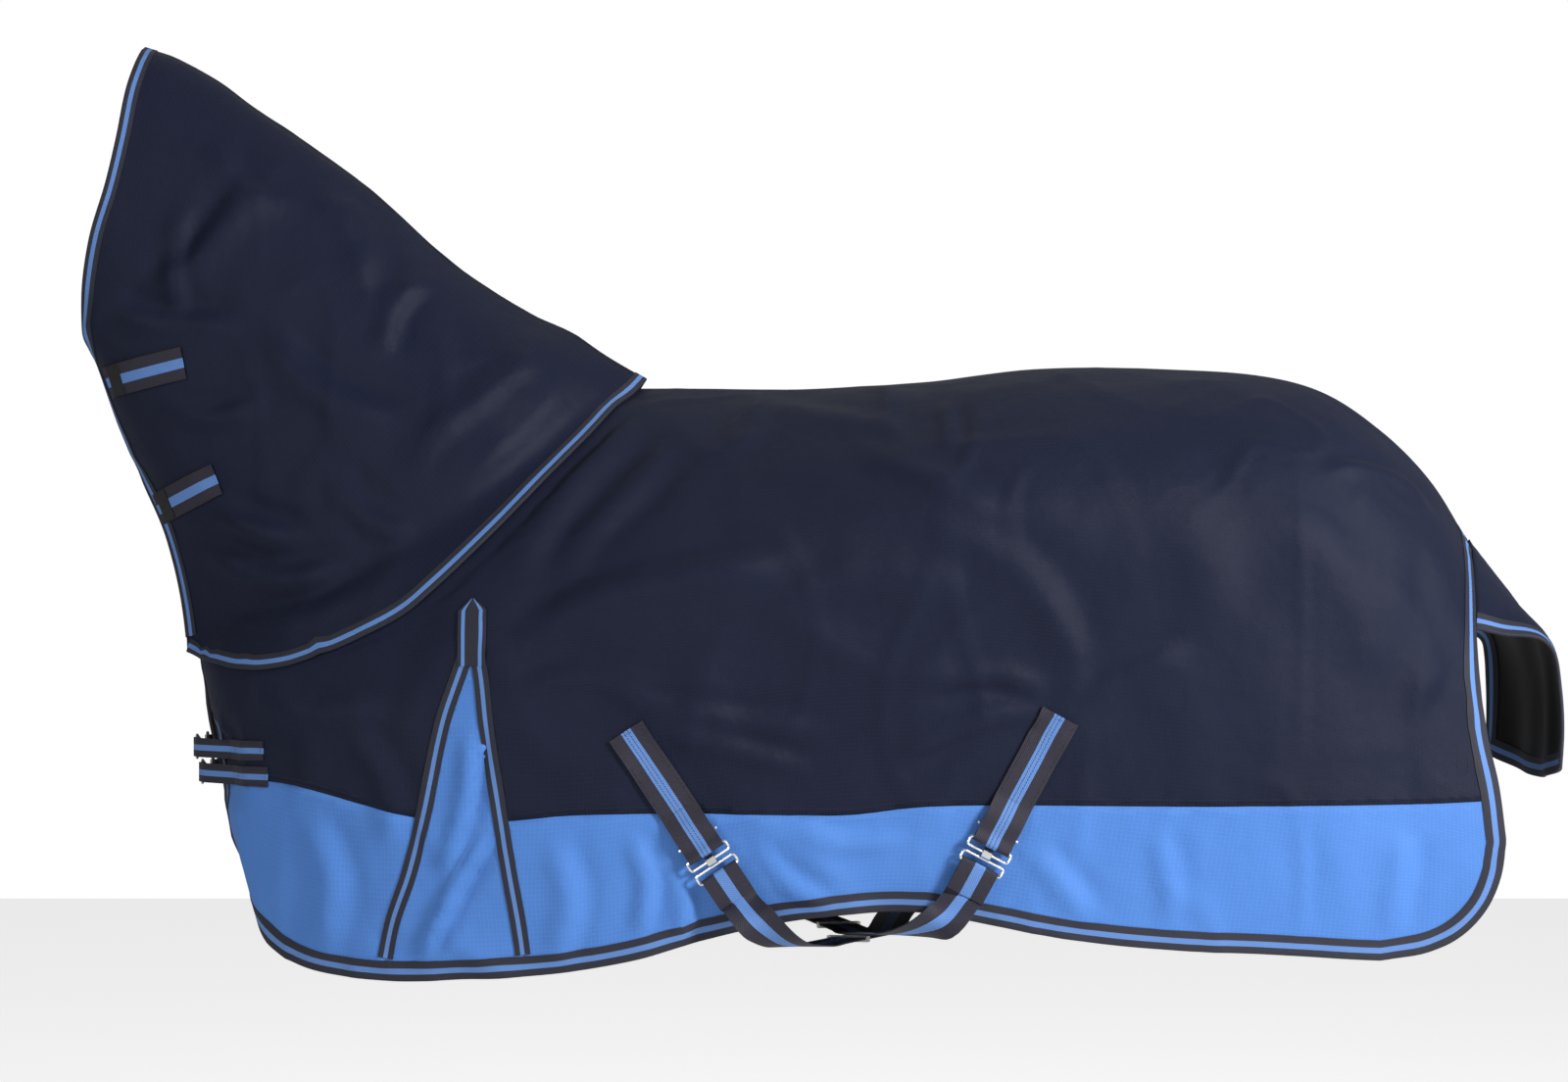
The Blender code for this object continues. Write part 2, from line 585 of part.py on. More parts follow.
def side_layers(side_name, body):
    """The shell panels, skirts, gusset, lining and trims of one side."""
    side = SIDES[side_name]
    edge = edge_path(body)
    inset = body.shifted(edge, TRIM_THICK + 2 * SEWN_GAP)
    half = SEAM_GAP / 2
    seam = extended(located(body, SKIRT_SEAM))
    above, below = body.shifted(seam, half), body.shifted(seam, -half)
    left, right = located(body, GUSSET_LEFT), located(body, GUSSET_RIGHT)
    left_out, left_in = body.shifted(left, -half), body.shifted(left, half)
    right_out, right_in = body.shifted(right, half), body.shifted(right, -half)

    def add(name, outline, low, high, kind):
        layer(f"{name}_{side_name}", body, side, flat_face(outline), low, high, kind)

    front, rear = crossing(inset, above), crossing(inset, above, last=True)
    at_left, at_right = crossing(above, left_out), crossing(above, right_out)
    outline = stretch(inset, 0, front[0]) + stretch(above, front[1], at_left[0])[1:]
    outline += stretch(left_out, at_left[1], 0.02)[1:] + stretch(right_out, 0.02, at_right[1])[:-1]
    outline += stretch(above, at_right[0], rear[1])[:-1] + stretch(inset, rear[0], len(inset) - 1)
    add("body_panel", outline, SHELL_LO, SHELL_HI, CLOTH_NAVY)

    front, hem = crossing(inset, below), crossing(inset, left_out)
    at_left = crossing(below, left_out)
    outline = stretch(inset, front[0], hem[0]) + stretch(left_out, hem[1], at_left[1])[1:-1]
    outline += stretch(below, at_left[0], front[1])[:-1]
    add("front_skirt", outline, SHELL_LO, SHELL_HI, CLOTH_BLUE)

    rear, hem = crossing(inset, below, last=True), crossing(inset, right_out)
    at_right = crossing(below, right_out)
    outline = stretch(inset, hem[0], rear[0]) + stretch(below, rear[1], at_right[0])[1:-1]
    outline += stretch(right_out, at_right[1], hem[1])[:-1]
    add("rear_skirt", outline, SHELL_LO, SHELL_HI, CLOTH_BLUE)

    hem_left, hem_right, apex = crossing(inset, left_in), crossing(inset, right_in), crossing(left_in, right_in)
    outline = stretch(inset, hem_left[0], hem_right[0]) + stretch(right_in, hem_right[1], apex[1])[1:-1]
    outline += stretch(left_in, apex[0], hem_left[1])[:-1]
    add("gusset", outline, SHELL_LO, SHELL_HI, CLOTH_BLUE)

    add("lining", inset, LINING_LO, LINING_HI, CLOTH_LINING)

    trim_end = body.shifted(edge, BINDING_WIDTH + SEAM_GAP)
    wide = GUSSET_TRIM_WIDTH / 2
    outer_left, inner_left = body.shifted(left, -wide), body.shifted(left, wide)
    outer_right, inner_right = body.shifted(right, wide), body.shifted(right, -wide)
    inside = crossing(inner_left, inner_right)
    hems = [crossing(trim_end, p) for p in (outer_left, inner_left, inner_right, outer_right)]
    outline = stretch(outer_left, 0, hems[0][1]) + stretch(inner_left, hems[1][1], inside[0])
    outline += stretch(inner_right, inside[1], hems[2][1])[1:] + stretch(outer_right, hems[3][1], 0)
    add("gusset_trim", outline, TRIM_LO, TRIM_HI, TAPE)

    tab = located(body, GUSSET_TAB)
    add("gusset_tab", tab, TRIM_HI + SEWN_GAP, TRIM_HI + SEWN_GAP + TRIM_THICK, TAPE)
    binding(f"hem_binding_{side_name}", body, side, edge, BINDING_WIDTH)


def binding(name, surface, side, path, width):
    """Tape folded over a cloth edge: a leaf on each face and a wall round the edge."""
    faces = strip(surface, path, width)
    split = (lambda e: e > TRIM_THICK, TRIM_THICK)
    layer(name, surface, side, faces, UNDER_LO, TRIM_HI, TAPE, stations=(TRIM_THICK,), split=split)


def neck_layers(side_name, neck):
    """The neck cover's shell, lining and bindings on one side."""
    side = SIDES[side_name]
    nu, nv = float(neck.nu), float(neck.nv)
    face = neck.clear_of_middle([(0.0, float(j)) for j in range(neck.nv)])
    throat = [(float(i), nv) for i in range(0, neck.nu)]
    rim = neck.clear_of_middle([(nu, float(j)) for j in range(neck.nv, -1, -1)])
    inset = neck.shifted(face + throat + rim, TRIM_THICK + SEWN_GAP)
    layer(f"neck_panel_{side_name}", neck, side, flat_face(inset), SHELL_LO, SHELL_HI, CLOTH_NAVY)
    layer(f"neck_lining_{side_name}", neck, side, flat_face(inset), LINING_LO, LINING_HI, CLOTH_LINING)
    rim_share = 1.35 * (NECK_BINDING_WIDTH + SEAM_GAP) / neck.steps(nu, nv)[0].length
    binding(f"neck_edge_binding_{side_name}", neck, side, face + throat + [(nu - rim_share, nv)], NECK_BINDING_WIDTH)
    binding(f"neck_rim_binding_{side_name}", neck, side, rim, NECK_BINDING_WIDTH)


def seam_tape(name, surface, start, end):
    """Tape along the middle line, under the lining."""
    half = SPINE_TAPE_WIDTH / 2
    path = [(start, 0.0)] + [(float(i), 0.0) for i in range(int(start) + 1, int(end) + 1) if i < end] + [(end, 0.0)]
    share = [half / surface.steps(u, 0.001)[1].length for u, _ in path]
    faces = []
    for k in range(len(path) - 1):
        (a, _), (b, _) = path[k], path[k + 1]
        faces.append([(a, -share[k], 0), (b, -share[k + 1], 0), (b, share[k + 1], 0), (a, share[k], 0)])
    layer(name, surface, 1, faces, UNDER_LO, UNDER_HI, TAPE)


class Frame:
    """A flat place to build fittings: a along, s across and h out."""

    def __init__(self, origin, along, out, side=1):
        self.origin, self.out, self.side = origin, out.normalized(), side
        self.along = (along - self.out * along.dot(self.out)).normalized()
        self.across = self.along.cross(self.out)

    def __call__(self, a, s, h):
        p = self.origin + self.along * a + self.across * s + self.out * h
        return Vector((p.x, p.y * self.side, p.z))

    def way(self, a, s, h):
        return self(a, s, h) - self(0, 0, 0)


def round_section(radius, sides=WIRE_SIDES):
    return [(radius * math.cos(2 * math.pi * k / sides), radius * math.sin(2 * math.pi * k / sides))
            for k in range(sides)]


def flat_section(width, thickness):
    w, t = width / 2, thickness / 2
    return [(-w, -t), (w, -t), (w, t), (-w, t)]


def rounded(corners, radius, closed, steps=2):
    """A path whose corners are arcs."""
    path = []
    count = len(corners)
    for k, corner in enumerate(corners):
        if not closed and k in (0, count - 1):
            path.append(corner)
            continue
        into, out = (corners[k - 1] - corner), (corners[(k + 1) % count] - corner)
        half = into.angle(out) / 2
        cut = min(radius / math.tan(half), 0.48 * into.length, 0.48 * out.length)
        start, end = corner + into.normalized() * cut, corner + out.normalized() * cut
        centre = corner + (into.normalized() + out.normalized()).normalized() * (cut / math.cos(half))
        for step in range(steps + 1):
            ray = (start - centre).slerp(end - centre, step / steps)
            path.append(centre + ray.normalized() * (start - centre).length)
    return path


def swept(path, ups, section, closed=False):
    """A bmesh of a section of (across, up) points carried along a path, mitred at each point."""
    bm = bmesh.new()
    count = len(path)
    rings = []
    for k, place in enumerate(path):
        into = (place - path[k - 1]).normalized() if closed or k else (path[1] - place).normalized()
        out = (path[(k + 1) % count] - place).normalized() if closed or k < count - 1 else into
        bisector = (into + out).normalized()
        up = ups[k] if isinstance(ups, list) else ups
        across = into.cross(up).normalized()
        rise = across.cross(into)
        ring = []
        for x, y in section:
            spot = across * x + rise * y
            spot -= into * (spot.dot(bisector) / into.dot(bisector))
            ring.append(bm.verts.new(place + spot))
        rings.append(ring)
    sides = len(section)
    for k in range(count if closed else count - 1):
        first, second = rings[k], rings[(k + 1) % count]
        for i in range(sides):
            j = (i + 1) % sides
            bm.faces.new((first[i], first[j], second[j], second[i]))
    if not closed:
        bm.faces.new(rings[0][::-1])
        bm.faces.new(rings[-1])
    return bm


def joined(name, shapes, kind, origin=None):
    """One solid from several closed shapes that overlap."""
    base, *others = shapes
    obj = finished(name, base, kind, origin, smooth=True)
    for k, shape in enumerate(others):
        other = finished(f"{name}_tool{k}", shape, kind)
        other.hide_render, other.display_type = True, "WIRE"
        union = obj.modifiers.new(f"join{k}", "BOOLEAN")
        union.operation, union.object = "UNION", other
    return obj


def band(surface, path, half):
    """Four-sided faces along a path, half wide each way, and its length. Here e counts along the path."""
    left, right = surface.shifted(path, half), surface.shifted(path, -half)
    places = [surface.point(u, v) for u, v in path]
    along = [0.0]
    for a, b in zip(places, places[1:]):
        along.append(along[-1] + (b - a).length)
    faces = []
    for k in range(len(path) - 1):
        e, f = along[k], along[k + 1]
        faces.append([(*left[k], e), (*left[k + 1], f), (*right[k + 1], f), (*right[k], e)])
    return faces, along[-1]


def webbing_tab(name, surface, side, ends, width, low, lift, ramp, frame=None, inward=False):
    """Webbing sewn down from the first end, which folds round a bar at the other. Returns the fold's frame.

    Its last part leaves the cloth, over the ramp's two distances from the fold, for the frame's flat plane.
    """
    (x0, z0), (x1, z1) = ends
    stops = [fitted(x0 + (x1 - x0) * k / 4, z0 + (z1 - z0) * k / 4) for k in range(5)]
    path = [surface.locate(p.x, p.z) for p in stops]
    faces, length = band(surface, path, width / 2)
    if frame is None:
        way = surface.point(*path[-1]) - surface.point(*path[-2])
        frame = Frame(surface.point(*path[-1]), way, surface.normal(*path[-1]), side)
    thick, channel = 2 * WEBBING_THICK, WIRE + 2 * PLAY
    fold_start, wall = length - FOLD, length - WEBBING_THICK

    def grown(e):
        return thick + channel * ease((e - fold_start + 0.010) / 0.010)

    def place(u, v, h, e):
        share = ease((e - length + ramp[0]) / (ramp[0] - ramp[1]))
        if share == 0.0:
            return surface.point(u, v, h)
        across = (surface.point(u, v) - frame.origin).dot(frame.across)
        if share == 1.0:
            across = max(-width / 2, min(width / 2, across)) if abs(abs(across) - width / 2) < 0.003 else across
        flat = frame.origin + frame.along * (e - length) + frame.across * across + frame.out * (h + lift)
        return surface.point(u, v, h).lerp(flat, share)

    lows = (lambda e: low - grown(e)) if inward else (lambda e: low)
    highs = (lambda e: low) if inward else (lambda e: low + grown(e))
    stations = [length - ramp[0] + (ramp[0] - ramp[1]) * k / 4 for k in range(5)]
    stations += [fold_start - 0.010, fold_start - 0.005, fold_start, wall]
    split = (lambda e: fold_start < e < wall, WEBBING_THICK)
    layer(name, surface, side, faces, lows, highs, TAPE, stations, split, place)
    return frame


def bar_place(low, lift, inward=False):
    """(a, h) of the bar in a fold."""
    reach = WEBBING_THICK + PLAY + WIRE / 2
    return -reach, (low + lift - reach if inward else low + lift + reach)


def wire_loop(frame, corners, h, radius, corner_radius=0.003):
    path = rounded([frame(a, s, h) for a, s in corners], corner_radius, closed=True)
    return swept(path, frame.way(0, 0, 1), round_section(radius), closed=True)


def surcingle_side(name, side_name, body, end):
    """One end of a surcingle: its sewn tab."""
    ends = SURCINGLES[end]["tab"]
    return webbing_tab(name, body, SIDES[side_name], ends, SURCINGLE_WIDTH, WEBBING_LO, ANCHOR_LIFT,
                       (0.070, 0.034))


def surcingle(name, bodies):
    """Tab, loop plate, T hook, belly strap and slider of one surcingle."""
    near = surcingle_side(f"{name}_anchor_near", "near", bodies["near"], name)
    far = surcingle_side(f"{name}_anchor_far", "far", bodies["far"], FAR_TAB_OF[name])
    bar_a, bar_h = bar_place(WEBBING_LO, ANCHOR_LIFT)
    half, radius = SURCINGLE_WIDTH / 2 + 0.0035, WIRE / 2
    free_a = bar_a + PLATE_REACH
    rect = [(bar_a, -half), (free_a, -half), (free_a, half), (bar_a, half)]
    finished(f"{name}_loop_plate", wire_loop(near, rect, bar_h, radius), METAL, near(bar_a, 0, bar_h), smooth=True)
    hook_a = free_a + 0.008
    web_a = hook_a + PLATE_REACH
    rect = [(hook_a, -half), (web_a, -half), (web_a, half), (hook_a, half)]
    frame_wire = wire_loop(near, rect, bar_h, radius)
    over, under = bar_h + 0.0034, WEBBING_LO + ANCHOR_LIFT - 0.0038
    profile = [(hook_a, bar_h), (hook_a - 0.0035, over), (free_a - 0.0023, over), (free_a - 0.0058, under + 0.0012),
               (free_a - 0.0108, under), (free_a - T_BAR_BACK, under)]
    tongue = swept([near(a, 0, h) for a, h in profile], near.way(0, 0, 1), flat_section(0.012, 0.002))
    t_a = free_a - T_BAR_BACK
    bar = swept([near(t_a, -half, under), near(t_a, half, under)], near.way(0, 0, 1), round_section(0.002))
    joined(f"{name}_t_hook", [frame_wire, tongue, bar], METAL, near(web_a, 0, bar_h))
    belly_strap(name, near, far, web_a, bar_h)


def belly_strap(name, near, far, web_a, bar_h):
    """Strap folded round the T hook's bar, under the belly and up to the far side's tab, with its slider."""
    sizes = SURCINGLES[name]
    turn = WIRE / 2 + PLAY + WEBBING_THICK / 2
    start = [(web_a + 0.040, bar_h + 0.0022), (web_a + 0.014, bar_h + turn)]
    start += [(web_a - turn * math.sin(k), bar_h + turn * math.cos(k)) for k in (0.0, 0.8, 1.57, 2.36, 3.14)]
    start += [(web_a + 0.014, bar_h - 0.0014), (web_a + 0.040, bar_h - 0.0006)]
    ups = [Vector((math.sin(k), 0, math.cos(k))) for k in (0.08, 0.03, 0.0, -0.8, -1.57, -2.36, -3.14, -3.2, -3.14)]
    path = [near(a, 0, h) for a, h in start]
    ups = [near.way(up.x, 0, up.z) for up in ups]
    first = path[-1]
    end_h = WEBBING_LO + ANCHOR_LIFT + bar_channel_height() / 2
    last = [far(0.060, 0, end_h - 0.003), far(0.016, 0, end_h)]
    run = [fitted(*p) for p in sizes["near_run"]]
    middle = fitted(*sizes["middle"])
    straight = [run[-1].lerp(middle, k) for k in (0.22, 0.78)]
    over = [fitted(*p) for p in sizes["far_run"]]
    curve = Curve([first, *run, *straight, middle, *over, *last])
    samples = 34
    for k in range(1, samples + 1):
        here, ahead = curve(k / samples), curve(min(k / samples + 0.01, 1.0)) - curve(k / samples - 0.01)
        up = -Vector((0, ahead.z, -ahead.y)).normalized()
        path.append(here)
        ups.append(up)
    for a in (0.010, SEWN_GAP):
        path.append(far(a, 0, end_h))
        ups.append(-far.way(0, 0, 1))
    bm = swept(path, ups, flat_section(SURCINGLE_WIDTH, WEBBING_THICK))
    finished(f"{name}_belly_strap", bm, TAPE)
    slider(name, straight)


def bar_channel_height():
    return 2 * WEBBING_THICK + WIRE + 2 * PLAY


def slider(name, straight):
    """A keeper that slides on the straight part of the belly strap."""
    way = (straight[1] - straight[0]).normalized()
    up = Vector((0, -way.z, way.y)).normalized()
    across_way = way.cross(up).normalized()
    rise = across_way.cross(way)
    middle = straight[0].lerp(straight[1], 0.5)
    width, gap, wall = SURCINGLE_WIDTH / 2 + PLAY, WEBBING_THICK / 2 + PLAY, 0.0022
    loop = [(-width - wall / 2, -gap - wall / 2), (width + wall / 2, -gap - wall / 2),
            (width + wall / 2, gap + wall / 2), (-width - wall / 2, gap + wall / 2)]
    path = [middle + across_way * x + rise * y for x, y in loop]
    bm = swept(path, way, flat_section(wall, SLIDER_LENGTH), closed=True)
    finished(f"{name}_slider", bm, METAL, middle)


def chest_closure(name, bodies):
    """One chest fastening: a ring on the near strap, and a hook with a gate on the far strap."""
    z = CHEST_CLOSURES[name] * DROP / STANDARD_DROP
    near_edge = bodies["near"].point(*edge_at(bodies["near"], z))
    far_edge = bodies["far"].point(*edge_at(bodies["far"], z))
    bow = CHEST_HOOK_BOW
    bar_a, bar_h = bar_place(WEBBING_LO, CHEST_LIFT)
    span = CHEST_RING_REACH + CHEST_HOOK_LENGTH + bow - WIRE - SEWN_GAP + 2 * bar_a
    centre = (near_edge.y - far_edge.y) / 2
    plane = min(near_edge.x, far_edge.x)
    out, width = Vector((-1, 0, 0)), CHEST_WIDTH
    near = Frame(Vector((plane - bow, centre - span / 2, z)), Vector((0, 1, 0)), out, 1)
    far = Frame(Vector((plane, -(centre + span / 2), z)), Vector((0, 1, 0)), out, -1)
    for side_name, frame in (("near", near), ("far", far)):
        edge = near_edge if side_name == "near" else far_edge
        scale = STANDARD_LENGTH / BACK_LENGTH
        level = CHEST_CLOSURES[name]
        ends = ((edge.x * scale + CHEST_TAB_LENGTH, level), (edge.x * scale + 0.004, level))
        webbing_tab(f"chest_{name}_strap_{side_name}", bodies[side_name], SIDES[side_name], ends, width, WEBBING_LO,
                    CHEST_LIFT, (0.055, 0.020), frame)
    half = width / 2 + 0.0035
    radius = WIRE / 2
    ring = [(bar_a, -half), (bar_a + CHEST_RING_REACH, -0.008), (bar_a + CHEST_RING_REACH, 0.008), (bar_a, half)]
    finished(f"chest_{name}_ring", wire_loop(near, ring, bar_h, radius), METAL, near(bar_a, 0, bar_h), smooth=True)
    neck_a = bar_a + CHEST_HOOK_LENGTH - 0.009
    base = [(bar_a, -half), (0.003, -half), (neck_a, -0.004), (neck_a, 0.004), (0.003, half), (bar_a, half)]
    loop = wire_loop(far, base, bar_h, radius)
    turn = bar_a + CHEST_HOOK_LENGTH
    profile = [(neck_a, 0.0), (turn, 0.0)]
    profile += [(turn + bow * math.sin(k), bow - bow * math.cos(k)) for k in (0.45, 0.9, 1.35, 1.8, 2.25, 2.7)]
    profile += [(turn, 2 * bow), (turn - 0.006, 2 * bow)]
    shank = swept([far(a, 0, bar_h + h) for a, h in profile], far.way(0, 1, 0), round_section(radius))
    joined(f"chest_{name}_hook", [loop, shank], METAL, far(bar_a, 0, bar_h))
    gate_radius = 0.0012
    low, high = radius + GATE_GAP, 2 * bow - radius - 2 * SEWN_GAP
    pivot = far(turn - 0.006, 0, bar_h + low)
    gate = swept([pivot, far(turn - 0.0045, 0, bar_h + high)], far.way(0, 1, 0), round_section(gate_radius, 8))
    finished(f"chest_{name}_gate", gate, METAL, pivot, smooth=True)


def edge_at(body, z):
    """(u, v) on the front edge at a height."""
    for j in range(body.nv):
        a, b = body.points[0][j].z, body.points[0][j + 1].z
        if b <= z <= a:
            return 0.0, j + (a - z) / (a - b)
    return 0.0, body.nv / 2


def tail_flap(body):
    """The flap under the tail: its own panel, lining and edge binding, hung from the rug's rear edge."""
    flap = flap_surface(body)
    nu, nv = float(flap.nu), float(flap.nv)
    edge = [(0.0, float(j)) for j in range(flap.nv)] + [(0.0, nv)] + [(float(i), nv) for i in range(1, flap.nu)]
    edge += [(nu, float(j)) for j in range(flap.nv, -1, -1)]
    inset = flap.shifted(edge, TRIM_THICK + SEWN_GAP)
    hinge = flap.point(nu / 2, 0.0, TRIM_HI)
    for name, low, high, kind in (("tail_flap_panel", SHELL_LO, SHELL_HI, CLOTH_NAVY),
                                  ("tail_flap_lining", LINING_LO, LINING_HI, CLOTH_LINING)):
        layer(name, flap, 1, flat_face(inset), low, high, kind, origin=hinge)
    split = (lambda e: e > TRIM_THICK, TRIM_THICK)
    layer("tail_flap_binding", flap, 1, strip(flap, edge, BINDING_WIDTH), UNDER_LO, TRIM_HI, TAPE,
          stations=(TRIM_THICK,), split=split, origin=hinge)


def neck_tab(name, neck):
    """A throat fastening: a base wrapped round the throat edge and a tab that peels off the near side."""
    x, z, length, rise = NECK_TABS[name]
    way = Vector((math.cos(math.radians(rise)), 0, math.sin(math.radians(rise))))
    lean = Vector((-way.z, 0, way.x))
    start = fitted(x, z)
    low = WEBBING_LO
    half = NECK_TAB_WIDTH / 2

    def outline(a, b):
        corners = [start + way * a - lean * half, start + way * b - lean * half,
                   start + way * b + lean * half, start + way * a + lean * half]
        return [neck.locate(p.x, p.z) for p in corners]

    layer(f"neck_tab_{name}_base", neck, 1, flat_face(outline(0.018, 0.050)), low, low + WEBBING_THICK, TAPE)
    above = low + WEBBING_THICK + SEWN_GAP
    origin = neck.point(*neck.locate(start.x + way.x * 0.008, start.z + way.z * 0.008), above + 1.5 * WEBBING_THICK)
    layer(f"neck_tab_{name}", neck, 1, flat_face(outline(0.008, length)), above, above + WEBBING_THICK, CLOTH_NAVY,
          origin=origin)


def neck_join(neck, body):
    """The tape that holds the neck cover's rim to the rug at the withers."""
    tree = body_tree(body)
    front, back, half = neck.nu - 0.42, neck.nu - 0.16, 0.25
    outline = [(front, -half), (back, -half), (back, half), (front, half)]

    def place(u, v, h, e):
        top = neck.point(u, v, UNDER_LO - SEWN_GAP)
        hit, normal = tree.find_nearest(top)[:2]
        return (hit + normal * (TRIM_HI + 3 * SEWN_GAP)).lerp(top, h)

    layer("neck_join_tape", neck, 1, flat_face(outline), 0.0, 1.0, TAPE, place=place)


def leg_ring(side_name, body):
    """A loop inside the hind corner with the D ring that takes a leg strap."""
    x, z = LEG_RING
    low = UNDER_HI
    frame = webbing_tab(f"leg_ring_loop_{side_name}", body, SIDES[side_name], ((x, z + 0.045), (x, z)), LEG_TAB_WIDTH,
                        low, -LEG_LIFT, (0.030, 0.016), inward=True)
    bar_a, bar_h = bar_place(low, -LEG_LIFT, inward=True)
    half = LEG_TAB_WIDTH / 2 + 0.0035
    shape = [(bar_a + 0.002, half), (bar_a, half - 0.002), (bar_a, 0.002 - half), (bar_a + 0.002, -half)]
    shape += [(bar_a + 0.012 + half * math.cos(math.radians(k)), half * math.sin(math.radians(k)))
              for k in range(-90, 91, 30)]
    ring = swept([frame(a, s, bar_h) for a, s in shape], frame.way(0, 0, 1), round_section(WIRE / 2), closed=True)
    finished(f"leg_ring_{side_name}", ring, METAL, frame(bar_a, 0, bar_h), smooth=True)


def clear_scene():
    for obj in list(bpy.data.objects):
        bpy.data.objects.remove(obj)


def main():
    clear_scene()
    bodies = {name: body_surface(name) for name in SIDES}
    neck = neck_surface(bodies["near"])
    for name in SIDES:
        side_layers(name, bodies[name])
        neck_layers(name, neck)
        leg_ring(name, bodies[name])
    seam_tape("spine_seam_tape", bodies["near"], 1.3, bodies["near"].nu - 0.5)
    seam_tape("neck_crest_tape", neck, 0.5, neck.nu - 0.5)
    neck_join(neck, bodies["near"])
    for name in SURCINGLES:
        surcingle(name, bodies)
    for name in CHEST_CLOSURES:
        chest_closure(name, bodies)
    for name in NECK_TABS:
        neck_tab(name, neck)
    tail_flap(bodies["near"])


main()
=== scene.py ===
import math

import bpy
import numpy as np
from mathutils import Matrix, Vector, noise
from mathutils.bvhtree import BVHTree
from mathutils.geometry import delaunay_2d_cdt
from mathutils.kdtree import KDTree


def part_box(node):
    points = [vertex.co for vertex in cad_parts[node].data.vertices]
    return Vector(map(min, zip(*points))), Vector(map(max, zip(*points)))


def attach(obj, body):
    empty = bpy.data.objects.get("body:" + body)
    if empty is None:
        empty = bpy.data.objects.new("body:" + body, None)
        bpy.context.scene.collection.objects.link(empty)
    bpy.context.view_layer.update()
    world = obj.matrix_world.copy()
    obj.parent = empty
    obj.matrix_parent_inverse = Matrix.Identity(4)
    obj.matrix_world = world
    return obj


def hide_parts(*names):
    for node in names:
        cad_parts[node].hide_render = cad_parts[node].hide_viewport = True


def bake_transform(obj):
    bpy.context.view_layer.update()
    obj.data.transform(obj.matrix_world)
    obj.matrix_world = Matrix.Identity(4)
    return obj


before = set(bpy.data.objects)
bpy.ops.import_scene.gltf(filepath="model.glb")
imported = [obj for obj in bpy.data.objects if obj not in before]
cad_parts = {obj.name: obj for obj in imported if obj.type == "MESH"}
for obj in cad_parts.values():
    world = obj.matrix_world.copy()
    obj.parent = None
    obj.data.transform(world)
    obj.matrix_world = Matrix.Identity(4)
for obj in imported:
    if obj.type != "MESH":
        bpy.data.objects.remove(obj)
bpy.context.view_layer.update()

SIDES = {"near": 1, "far": -1}

# Heights above the underside of the lining.
SEWN_GAP = 0.0003  # between two layers that are sewn together
LINING_TOP = 0.0010
SHELL_LOW, SHELL_TOP = 0.0013, 0.0023
TRIM_THICK = 0.0008
TRIM_MID = SHELL_TOP + SEWN_GAP + TRIM_THICK / 2
UNDER_MID = -SEWN_GAP - TRIM_THICK / 2
NECK_CLEARANCE = 0.0050  # from the underside of the body's lining to the neck cover's

# Widths.
BINDING_WIDTH, HEM_STRIPE = 0.026, 0.0072
NECK_BINDING_WIDTH, NECK_STRIPE = 0.018, 0.0056
GUSSET_TRIM_WIDTH, GUSSET_STRIPE = 0.020, 0.0056
SPINE_TAPE_WIDTH = 0.024
SURCINGLE_WIDTH, SURCINGLE_STRIPE = 0.050, 0.0145
CHEST_WIDTH, CHEST_STRIPE = 0.025, 0.0075
NECK_TAB_WIDTH, NECK_TAB_STRIPE = 0.042, 0.0130
LEG_TAB_WIDTH = 0.025
WEBBING_THICK = 0.0018
WIRE = 0.0036
PLAY = 0.0006  # around a bar inside its fold
BAR_REACH = WEBBING_THICK + PLAY + WIRE / 2
WEBBING_LOW = SHELL_TOP + SEWN_GAP
ANCHOR_LIFT, CHEST_LIFT, LEG_LIFT = 0.0080, 0.0035, 0.0012  # how far a tab's fold stands off the cloth
PLATE_REACH = 0.0120  # between the middles of a loop plate's bars
SURROUND = 0.21  # how strongly the white surround lights the rug

# Outlines seen from the near side, as (x, z) or (x, z, y).
SPINE = [(-0.140, 0.000), (-0.026, 0.000), (0.130, -0.001), (0.286, 0.008), (0.442, 0.026),
         (0.624, 0.025), (0.754, 0.014), (0.832, -0.012), (0.910, -0.070), (0.962, -0.125),
         (1.008, -0.200)]
HEM = [(-0.582, -0.672), (-0.557, -0.719), (-0.521, -0.741), (-0.467, -0.753), (-0.390, -0.758),
       (-0.291, -0.753), (-0.192, -0.746), (-0.093, -0.729), (0.005, -0.702), (0.104, -0.680),
       (0.203, -0.668), (0.277, -0.668), (0.375, -0.686), (0.474, -0.704), (0.598, -0.717),
       (0.722, -0.723), (0.847, -0.731), (0.935, -0.734), (1.034, -0.735)]
FRONT_TOP = [(-0.140, 0.000, 0.0), (-0.184, -0.037, -0.085), (-0.276, -0.121, -0.150),
             (-0.377, -0.197, -0.165), (-0.480, -0.261, -0.145), (-0.588, -0.302, -0.085)]
FRONT = {
    "near": FRONT_TOP + [(-0.660, -0.340, -0.018), (-0.652, -0.392, -0.032), (-0.640, -0.442, -0.045),
                    (-0.628, -0.500, -0.055), (-0.619, -0.571, -0.060), (-0.605, -0.610, -0.066),
                    (-0.582, -0.672, -0.080)],
    "far": FRONT_TOP + [(-0.664, -0.340, -0.010), (-0.662, -0.395, -0.006), (-0.655, -0.450, -0.005),
                    (-0.642, -0.510, -0.010), (-0.633, -0.560, -0.024), (-0.618, -0.610, -0.048),
                    (-0.582, -0.672, -0.080)],
}
REAR = [(1.008, -0.200, 0.0), (0.996, -0.261, -0.130), (0.990, -0.323, -0.185), (0.991, -0.385, -0.212),
        (0.998, -0.447, -0.225), (1.011, -0.509, -0.232), (1.019, -0.570, -0.236),
        (1.027, -0.645, -0.238), (1.034, -0.735, -0.238)]
